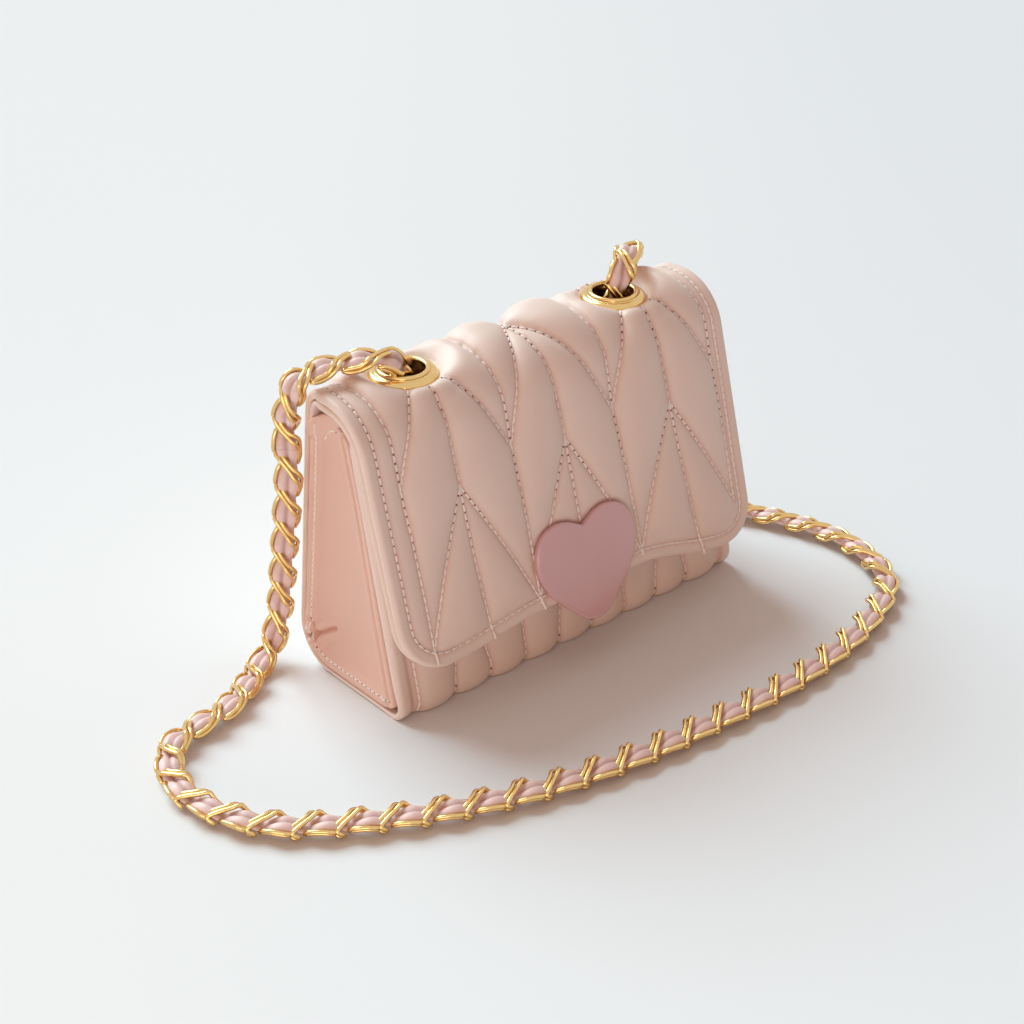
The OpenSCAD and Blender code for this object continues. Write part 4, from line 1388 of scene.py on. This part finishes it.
# The band along the base and the back: how far it stays under the lips, its steep and its slack
# part as share, start and width, and the dip at its stitches as depth and width
BAND_SUNK = 0.2
BAND_STEEP = (0.45, 5.2, 2.4)
BAND_SLACK = (0.55, 15, 12)
STITCH_DIP = (0.3, 0.6)

# A dart at the back's foot and a fold across it: their lines, depth and width of the crease, and
# height, place and width of the pucker beside it
DART = [(24.6, 9.7), (21.4, 11.2), (17.8, 13.6), (14.4, 16), (11.6, 17.6)]
DART_FOLD = [(22.6, 17.5), (20.6, 13.8), (20.2, 9)]
PUCKERS = [(DART, (1.3, 0.55), (1.0, 2.3, 1.5)), (DART_FOLD, (0.8, 0.5), (0.4, 1.8, 1.2))]
# Width of the shade painted along the dart and its fold
DART_SHADE_W = 0.6

# The panel's soft hollow: depth, and centre and reach along Y and Z
HOLLOW = (1.3, (2, 13), (62, 32))

GUSSET_EDGE = 0.5
GUSSET_GRID_Y = 0.5
GUSSET_GRID_Z = 0.7
GUSSET_ROW_START = 6
GUSSET_ROW_POINTS = 150
HEM_ROW_POINTS = 30


def gusset_height(y, z):
    """Height of the gusset over its sunk panel: lips, band, dart and fold, hem, and a hollow."""
    bottom, over, front_side, back_side = gusset_sides(0, MOUTH_H)
    to_front = line_distance(front_side, y, z)
    to_rest = line_distance(np.concatenate([bottom, back_side]), y, z)
    to_top = line_distance(over, y, z)
    lip = GUSSET_OUT - GUSSET_FACE
    fold = lip * smooth((2 * LIP_W + LIP_EDGE / 2 - to_front) / LIP_EDGE)
    groove_deep, groove_w = LIP_GROOVE
    fold -= groove_deep * hump(to_front - LIP_W, groove_w) * (to_front < 2 * LIP_W)
    band = (lip - BAND_SUNK) * sum(
        share * smooth((start - to_rest) / width) for share, start, width in (BAND_STEEP, BAND_SLACK))
    dip_deep, dip_w = STITCH_DIP
    height = np.maximum(fold, band - dip_deep * hump(to_rest - GUSSET_STITCH, dip_w))
    for line, (deep, crease_w), (rise, beside, puff_w) in PUCKERS:
        far = line_distance(line, y, z)
        height += rise * hump(far - beside, puff_w) - deep * hump(far, crease_w)
    hem_rise, hem_start, hem_edge = HEM
    clear_of_lips = 1 - smooth(2 * LIP_W - to_front)
    height += hem_rise * smooth((hem_start - to_top) / hem_edge) * clear_of_lips
    hollow_deep, (hollow_y, reach_y), (hollow_z, reach_z) = HOLLOW
    return height - hollow_deep * hump(y - hollow_y, reach_y) * hump(z - hollow_z, reach_z)


def make_gusset(name, end):
    """The gusset at one end of the bag: -1 at the left, 1 at the right."""
    def place(y, z, out):
        return np.stack([end * (GUSSET_FACE + out), y, z], -1)

    def depth(y, z):
        return GUSSET_FACE - GUSSET_BACK + 0 * y

    # Painted shade along the dart and its fold, for the leather's material
    def dart_shade(y, z):
        return hump(np.minimum(line_distance(DART, y, z), line_distance(DART_FOLD, y, z)), DART_SHADE_W)

    sides = gusset_sides(GUSSET_EDGE, MOUTH_H - GUSSET_EDGE)
    grid = patch(*sides, odd(BASE_D / GUSSET_GRID_Y), odd(MOUTH_H / GUSSET_GRID_Z))
    piece = shell(name + "_leather", grid, place, gusset_height, depth, roll=GUSSET_EDGE, flip=end < 0,
                  crease=dart_shade)
    dress(piece, gusset_leather)
    ride_bag(piece)
    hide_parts(name)
    bottom, _, _, back_side = gusset_sides(GUSSET_STITCH, MOUTH_H - 1)
    row = resampled(np.concatenate([bottom[GUSSET_ROW_START:], back_side[1:]]), GUSSET_ROW_POINTS)
    hem = resampled(gusset_sides(2 * LIP_W, MOUTH_H - HEM_STITCH)[1], HEM_ROW_POINTS)
    lines = [laid(line, place, gusset_height, FINE_LIFT) for line in (row, hem)]
    sewn(name + "_stitches", lines, ride_bag, **FINE_SEWING)


make_flap_and_back()
make_flap_lining()
make_front_and_base()
make_gusset("gusset_left", -1)
make_gusset("gusset_right", 1)


# Eyelets: a domed ring with a rolled inner lip and its barrel. Heights are over the seat.

DOME_R = 9.4
DOME_LOW = -0.5
DOME_H = 2.3
DOME_FULLNESS = 0.7
LIP_R = 0.85
LIP_Z = 2.1
BARREL_T = 0.7
BARREL_Z = -3.3
UNDER_Z = -0.9
UNDER_INSET = 0.4
PROFILE_POINTS = 14
RING_SIDES = 112


def eyelet_profile():
    """Radius and height, round the ring's section."""
    skirt = [(DOME_R + (EYELET_R - DOME_R) * math.cos(a) ** DOME_FULLNESS, DOME_LOW + DOME_H * math.sin(a))
             for a in np.linspace(0, 1.45, PROFILE_POINTS)]
    lip = [(BORE_R + LIP_R * (1 + math.cos(a)), LIP_Z + LIP_R * math.sin(a))
           for a in np.linspace(-0.5, math.pi, PROFILE_POINTS)]
    outside = BORE_R + BARREL_T
    barrel = [(BORE_R, BARREL_Z), (outside, BARREL_Z), (outside, UNDER_Z)]
    barrel.append((EYELET_R - UNDER_INSET, UNDER_Z))
    return skirt + lip + barrel


for name, x in (("left", -EYELET_X), ("right", EYELET_X)):
    ring = turned("eyelet_ring_" + name, eyelet_profile()[::-1], (x, EYELET_Y, SEAT_Z), RING_SIDES)
    dress(ring, gold)
    ride_flap(ring)
    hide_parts("eyelet_" + name)


# Heart plate


def flap_plane(x, up, out):
    """Points on the flap's straight front, up its slope and out of its seam level."""
    y, z = wrap.at(flap_s(HEART_TIP_Z) + up, out)
    return np.stack([x, y, z], -1)


# The plate's middle, its rounded edge, its crown and its edge underneath
HEART_MIDDLE = (0, 20.0)
HEART_EDGE_R = 0.75
HEART_CROWN = 0.55
HEART_UNDER = -0.2
HEART_UNDER_INSET = 0.3
HEART_UNDER_W = 3
HEART_SIDE_LOW = 0.1
CROWN_SHARES = (0.94, 0.85, 0.7, 0.5, 0.3, 0.12)


def make_heart():
    edge = heart_edge
    ahead = np.roll(edge, -1, axis=0) - np.roll(edge, 1, axis=0)
    outward = unit(np.stack([ahead[:, 1], -ahead[:, 0]], -1))
    middle = np.array(HEART_MIDDLE)
    under = HEART_SEAT + HEART_UNDER
    rings = [(edge - outward * inset, under) for inset in (HEART_UNDER_W, HEART_UNDER_INSET)]
    rings.append((edge, HEART_SEAT + HEART_SIDE_LOW))
    top = HEART_SEAT + HEART_T
    for a in np.radians([0, 22, 45, 68, 90]):
        inset, rise = HEART_EDGE_R * (1 - math.cos(a)), HEART_EDGE_R * math.sin(a)
        rings.append((edge - outward * inset, top - HEART_EDGE_R + rise))
    face = edge - outward * HEART_EDGE_R
    for share in CROWN_SHARES:
        rings.append((middle + (face - middle) * share, top + HEART_CROWN * (1 - share**2)))
    piece = capped("heart_face", [flap_plane(r[:, 0], r[:, 1], np.full(len(r), h)) for r, h in rings])
    dress(piece, rose)
    ride_flap(piece)
    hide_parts("heart_plate")


make_heart()


# Lining, pocket and tabs inside the body

LINING_HALF = 72.3
LINING_TOP = 96.6
LINING_LOW = 4.6
LINING_OFF = 4.3
LINING_FRONT_OFF = 0.2
LINING_T = 0.9
LINING_CORNER_R = 4.0
LINING_ROUND_SHARE = 0.8
LINING_RINGS = 40

# Points on a long side, a short side and a corner of a ring
LONG_POINTS = 60
SHORT_POINTS = 12
CORNER_POINTS = 8

# Folds: seed, number of waves, the broadest wave and the step to the next, lean, and depth, which
# is less at the back, where the pocket is
FOLD_SEED = 4
FOLD_WAVES = 6
FOLD_BROAD = 0.05
FOLD_STEP = 0.035
FOLD_LEAN = 2.2
FOLD_DEPTH = 0.5
FOLD_END_SHARE = 1.1
BACK_FOLD_SHARE = 0.2


def lining_ring(half, front, back):
    """A rectangle with round corners as (X, Y), anticlockwise from its right side."""
    r = LINING_CORNER_R
    x, low, high = half - r, front + r, back - r
    corners = [((x, high), (-x, back), LONG_POINTS), ((-x, high), (-half, low), SHORT_POINTS),
               ((-x, low), (x, front), LONG_POINTS), ((x, low), (half, high), SHORT_POINTS)]
    parts = []
    for quarter, (centre, side_end, n) in enumerate(corners):
        corner = arc_points(centre, r, 90 * quarter, 90 * quarter + 90, CORNER_POINTS)
        parts += [corner, np.linspace(corner[-1], side_end, n)[1:-1]]
    return np.concatenate(parts)


def lining_rings(off):
    """Level rings of the lining, with soft folds that fade towards its top and floor."""
    folds = np.random.default_rng(FOLD_SEED)
    phase = folds.uniform(0, 2 * math.pi, FOLD_WAVES)
    low = LINING_LOW + off - LINING_OFF
    rings = []
    for z in np.linspace(low, LINING_TOP, LINING_RINGS):
        front = -BASE_D / 2 + z * math.tan(front_lean) + off + LINING_FRONT_OFF
        back = BASE_D / 2 - max(z, BACK_CORNER_R) * math.tan(back_lean) - off
        up_corner = 1 - min(z, BACK_CORNER_R) / BACK_CORNER_R
        back -= BACK_CORNER_R * (1 - math.sqrt(1 - up_corner**2)) * LINING_ROUND_SHARE
        ring = lining_ring(LINING_HALF - (off - LINING_OFF), front, back)
        share = (z - low) / (LINING_TOP - low)
        size = FOLD_DEPTH * math.sin(math.pi * min(1, share * FOLD_END_SHARE)) ** 2
        wave = sum(
            np.sin(ring[:, 0] * (FOLD_BROAD + FOLD_STEP * k) + phase[k] + FOLD_LEAN * share * (k % 3))
            for k in range(FOLD_WAVES)
        ) / 3
        inward = np.sign((front + back) / 2 - ring[:, 1])
        ring[:, 1] += inward * size * (1 + wave) * np.where(inward < 0, BACK_FOLD_SHARE, 1)
        rings.append(np.column_stack([ring, np.full(len(ring), z)]))
    return rings


def lined(piece, node):
    """Dresses a cloth piece of the body, in place of a CAD node."""
    dress(piece, lining_cloth)
    ride_bag(piece)
    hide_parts(node)


def make_lining():
    outer, inner = lining_rings(LINING_OFF), lining_rings(LINING_OFF + LINING_T)
    lined(capped("lining_cloth_bag", outer + inner[::-1]), "lining_bag")


# Slip pocket: its size, its gap to the wall, and its slack at the mouth
WALL_OFF = LINING_OFF + LINING_T
POCKET_W = 84
POCKET_LOW = 17.75
POCKET_HIGH = 63.75
POCKET_SEAT = 0.35
POCKET_GAP = 1.2
POCKET_SIDE = 9
POCKET_EDGE = 0.4
POCKET_GRID = 1.2
POCKET_MOUTH_UP = 20
POCKET_MOUTH_L = 26
MIDDLE_SLACK = 0.9
MIDDLE_SLACK_W = 24
RIPPLE = 0.25
RIPPLE_W = 5.5
POCKET_ROW_IN = 2
POCKET_TACK_UP = 5
POCKET_ROW_POINTS = 160


def back_s(z):
    """Place of a height on the back."""
    return S_BACK_CORNER - (z - back_foot_z) / math.cos(back_lean)


def wall_place(x, s, out):
    """Points in front of the inner back wall, out towards the inside of the body."""
    return np.stack([x + 0 * s, *wrap.at(s, -WALL_OFF - out)], -1)


def pocket_height(x, s):
    """Height of the slip pocket's cloth: held down at its sides and foot, slack at its mouth."""
    edge = np.minimum(POCKET_W / 2 - np.abs(x), back_s(POCKET_LOW) - s)
    mouth = smooth((back_s(POCKET_LOW + POCKET_MOUTH_UP) - s) / POCKET_MOUTH_L)
    slack = mouth * (MIDDLE_SLACK * hump(x, MIDDLE_SLACK_W) + RIPPLE * np.sin(x / RIPPLE_W))
    return LINING_T + POCKET_SEAT + (POCKET_GAP + slack) * smooth(edge / POCKET_SIDE)


def make_pocket():
    def depth(x, s):
        return LINING_T - pocket_height(x, s)

    low, high = back_s(POCKET_LOW), back_s(POCKET_HIGH)
    sides = box_sides(POCKET_W / 2, high, low, POCKET_EDGE)
    grid = patch(*sides, odd(POCKET_W / POCKET_GRID), odd((POCKET_HIGH - POCKET_LOW) / POCKET_GRID))
    piece = shell("slip_pocket_cloth", grid, wall_place, pocket_height, depth, roll=POCKET_EDGE, flip=True)
    lined(piece, "slip_pocket")
    half, low, hem = POCKET_W / 2 - POCKET_ROW_IN, low - POCKET_ROW_IN, high + POCKET_TACK_UP
    rows = [[(-half, high), (-half, low), (half, low), (half, high)], [(-half, hem), (half, hem)]]
    lines = [laid(resampled(row, POCKET_ROW_POINTS), wall_place, pocket_height, FINE_LIFT) for row in rows]
    sewn("slip_pocket_stitches", lines, ride_bag, **FINE_SEWING)


# Tabs: the leather, the bar that it folds round as (Y, Z), its section and its rows of stitches
TAB_W = 9
TAB_L = 14
TAB_T = 1.1
BAR = (12.4876, 80)
BAR_R = 1.05
TAB_GAP = 0.2
TAB_DROP = 3
TAB_MEET = 7
TAB_POINTS = 60
TAB_SIDES = 20
TAB_SQUARE_W = 0.35
TAB_SQUARE_T = 0.6
TAB_ROWS = (-8.5, -12)
TAB_ROW_HALF = 3.6
TAB_ROW_POINTS = 12


def make_tab(name, x):
    """A strip of leather folded round the bar of its D-ring, and sewn together below it."""
    fold = BAR_R + TAB_T / 2
    turn = arc_points((0, 0), fold, 0, 180, 12)
    back, inner = [(fold, -TAB_L), (fold, -TAB_L / 2)], fold - TAB_T
    front = [(TAB_GAP - fold, -TAB_DROP), (inner, -TAB_MEET), (inner, -TAB_L)]
    line = rounded_line(np.concatenate([back, turn, front]), TAB_POINTS)
    normal = unit(np.gradient(line, axis=0))[:, ::-1] * (1, -1)
    c, s = math.cos(back_lean), math.sin(back_lean)

    def placed(across, local):
        return np.stack([x + across + 0 * local[:, 0], BAR[0] + local[:, 0] * c - local[:, 1] * s,
                         BAR[1] + local[:, 0] * s + local[:, 1] * c], -1)

    a = 2 * math.pi * np.arange(TAB_SIDES) / TAB_SIDES
    across = TAB_W / 2 * np.sign(np.cos(a)) * np.abs(np.cos(a)) ** TAB_SQUARE_W
    through = TAB_T / 2 * np.sign(np.sin(a)) * np.abs(np.sin(a)) ** TAB_SQUARE_T
    rings = [placed(across, line[i] + normal[i] * through[:, None]) for i in range(len(line))]
    piece = dress(capped(name + "_leather", rings), blush)
    ride_bag(piece)
    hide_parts(name)
    along = np.linspace(-TAB_ROW_HALF, TAB_ROW_HALF, TAB_ROW_POINTS)
    rows = []
    for height in TAB_ROWS:
        level = placed(along, np.tile((inner - TAB_T / 2 - FINE_LIFT, height), (TAB_ROW_POINTS, 1)))
        rows.append((level, np.tile((0, -c, -s), (TAB_ROW_POINTS, 1))))
    sewn(name + "_stitches", rows, ride_bag, **FINE_SEWING)


make_lining()
make_pocket()
make_tab("tab_left", -EYELET_X)
make_tab("tab_right", EYELET_X)

# Each CAD node gets the material of its slot, for those that no piece replaces
SLOT_MATERIALS = {
    "blush_leather": blush, "foam_wadding": wadding, "stiffening_board": card, "lining_cloth": lining_cloth,
    "gold_metal": gold, "washer_steel": steel, "rose_enamel": rose, "strap_ribbon": ribbon_leather,
}
node_slots = {part["node"]: part["material_slot"] for part in frame["record"]["subparts"]}
for name, node in frame["nodes"].items():
    dress(node, SLOT_MATERIALS[node_slots[name]])


# Floor, backdrop and light

FLOOR_HALF = 6.0


def make_floor():
    """A pale floor, painted a little darker away from the window, as a falloff of its light."""
    made, tree, shader = material("pale_floor")
    place = tree.add("ShaderNodeTexCoord").out("Object")
    axes = tree.add("ShaderNodeSeparateXYZ", {}, {0: place})
    # Painted falloff of the window's light: darker towards the front right, away from the window
    away = tree.add("ShaderNodeMapRange", {}, {
        "Value": axes.out("X") * 0.75 - axes.out("Y") * 0.66, "From Min": -0.12, "From Max": 0.26})
    cloud = tree.add("ShaderNodeTexNoise", {}, {"Vector": place, "Scale": 3.0})
    tone = tree.mixed(away, colour(240, 243, 245), colour(229, 233, 237))
    tone = tree.mixed(cloud * 0.2, tone, colour(236, 237, 238))
    set_inputs(tree, shader, Base_Color=tone, Roughness=0.9)
    shader.inputs["Specular IOR Level"].default_value = 0.1
    corners = [(x * FLOOR_HALF, y * FLOOR_HALF, 0) for x, y in ((-1, -1), (1, -1), (1, 1), (-1, 1))]
    mesh = bpy.data.meshes.new("floor")
    mesh.from_pydata(corners, [], [(0, 1, 2, 3)])
    floor = bpy.data.objects.new("floor", mesh)
    bpy.context.scene.collection.objects.link(floor)
    dress(floor, made)


# Daylight from behind, through a wide cool window, in a warm dim room with a wall at the front left
WINDOW = (-0.06, 0.73, 0.68)
WINDOW_ANGLE = 40
WINDOW_POWER = 3.0
WINDOW_TINT = (0.72, 0.93, 1.0)
WALL_PLACE = (-1.1, -0.75, 0.16)
WALL_SIZE = (1.0, 0.6)
WALL_POWER = 5.0
WALL_TINT = (1.0, 0.76, 0.65)
ROOM_DIM = (0.17, 0.085, 0.055, 1)
ROOM_BRIGHT = (0.62, 0.47, 0.40, 1)
BACKDROP = colour(238, 240, 243)


def placed_lamp(name, kind, power, tint, looking, place=(0, 0, 0)):
    """A lamp that looks in a direction, and its data."""
    lamp = bpy.data.lights.new(name, kind)
    lamp.energy = power
    lamp.color = tint
    holder = bpy.data.objects.new(name, lamp)
    bpy.context.scene.collection.objects.link(holder)
    holder.location = place
    holder.rotation_euler = looking.to_track_quat("-Z", "Y").to_euler()
    return lamp


def make_window():
    """Wide soft daylight from high behind the bag."""
    lamp = placed_lamp("window", "SUN", WINDOW_POWER, WINDOW_TINT, -Vector(WINDOW))
    lamp.angle = math.radians(WINDOW_ANGLE)


def make_wall_fill():
    """Warm light off a low wall at the front left."""
    looking = Vector(TARGET) - Vector(WALL_PLACE)
    lamp = placed_lamp("wall_fill", "AREA", WALL_POWER, WALL_TINT, looking, WALL_PLACE)
    lamp.shape = "RECTANGLE"
    lamp.size, lamp.size_y = WALL_SIZE


def make_world():
    """A room that is brighter towards the window, and a pale backdrop where it is seen."""
    world = bpy.data.worlds.new("soft_room")
    bpy.context.scene.world = world
    world.use_nodes = True
    tree = Tree(world.node_tree)
    background = world.node_tree.nodes["Background"]
    ray = tree.add("ShaderNodeLightPath")
    seen = ray.out("Is Camera Ray") + ray.out("Is Glossy Ray") + ray.out("Is Transmission Ray")
    axes = tree.add("ShaderNodeSeparateXYZ", {}, {0: tree.add("ShaderNodeTexCoord").out("Generated")})
    to_window = axes.out("X") * WINDOW[0] + axes.out("Y") * WINDOW[1] + axes.out("Z") * WINDOW[2]
    share = tree.add("ShaderNodeMapRange", {"interpolation_type": "SMOOTHSTEP"},
                     {"Value": to_window, "From Min": -0.5, "From Max": 0.9})
    tone = tree.mixed(share, ROOM_DIM, ROOM_BRIGHT)
    tone = tree.mixed(seen, tone, BACKDROP)
    world.node_tree.links.new(tone.socket, background.inputs["Color"])


make_floor()
make_world()
make_window()
make_wall_fill()

bpy.context.scene.view_settings.view_transform = "Standard"
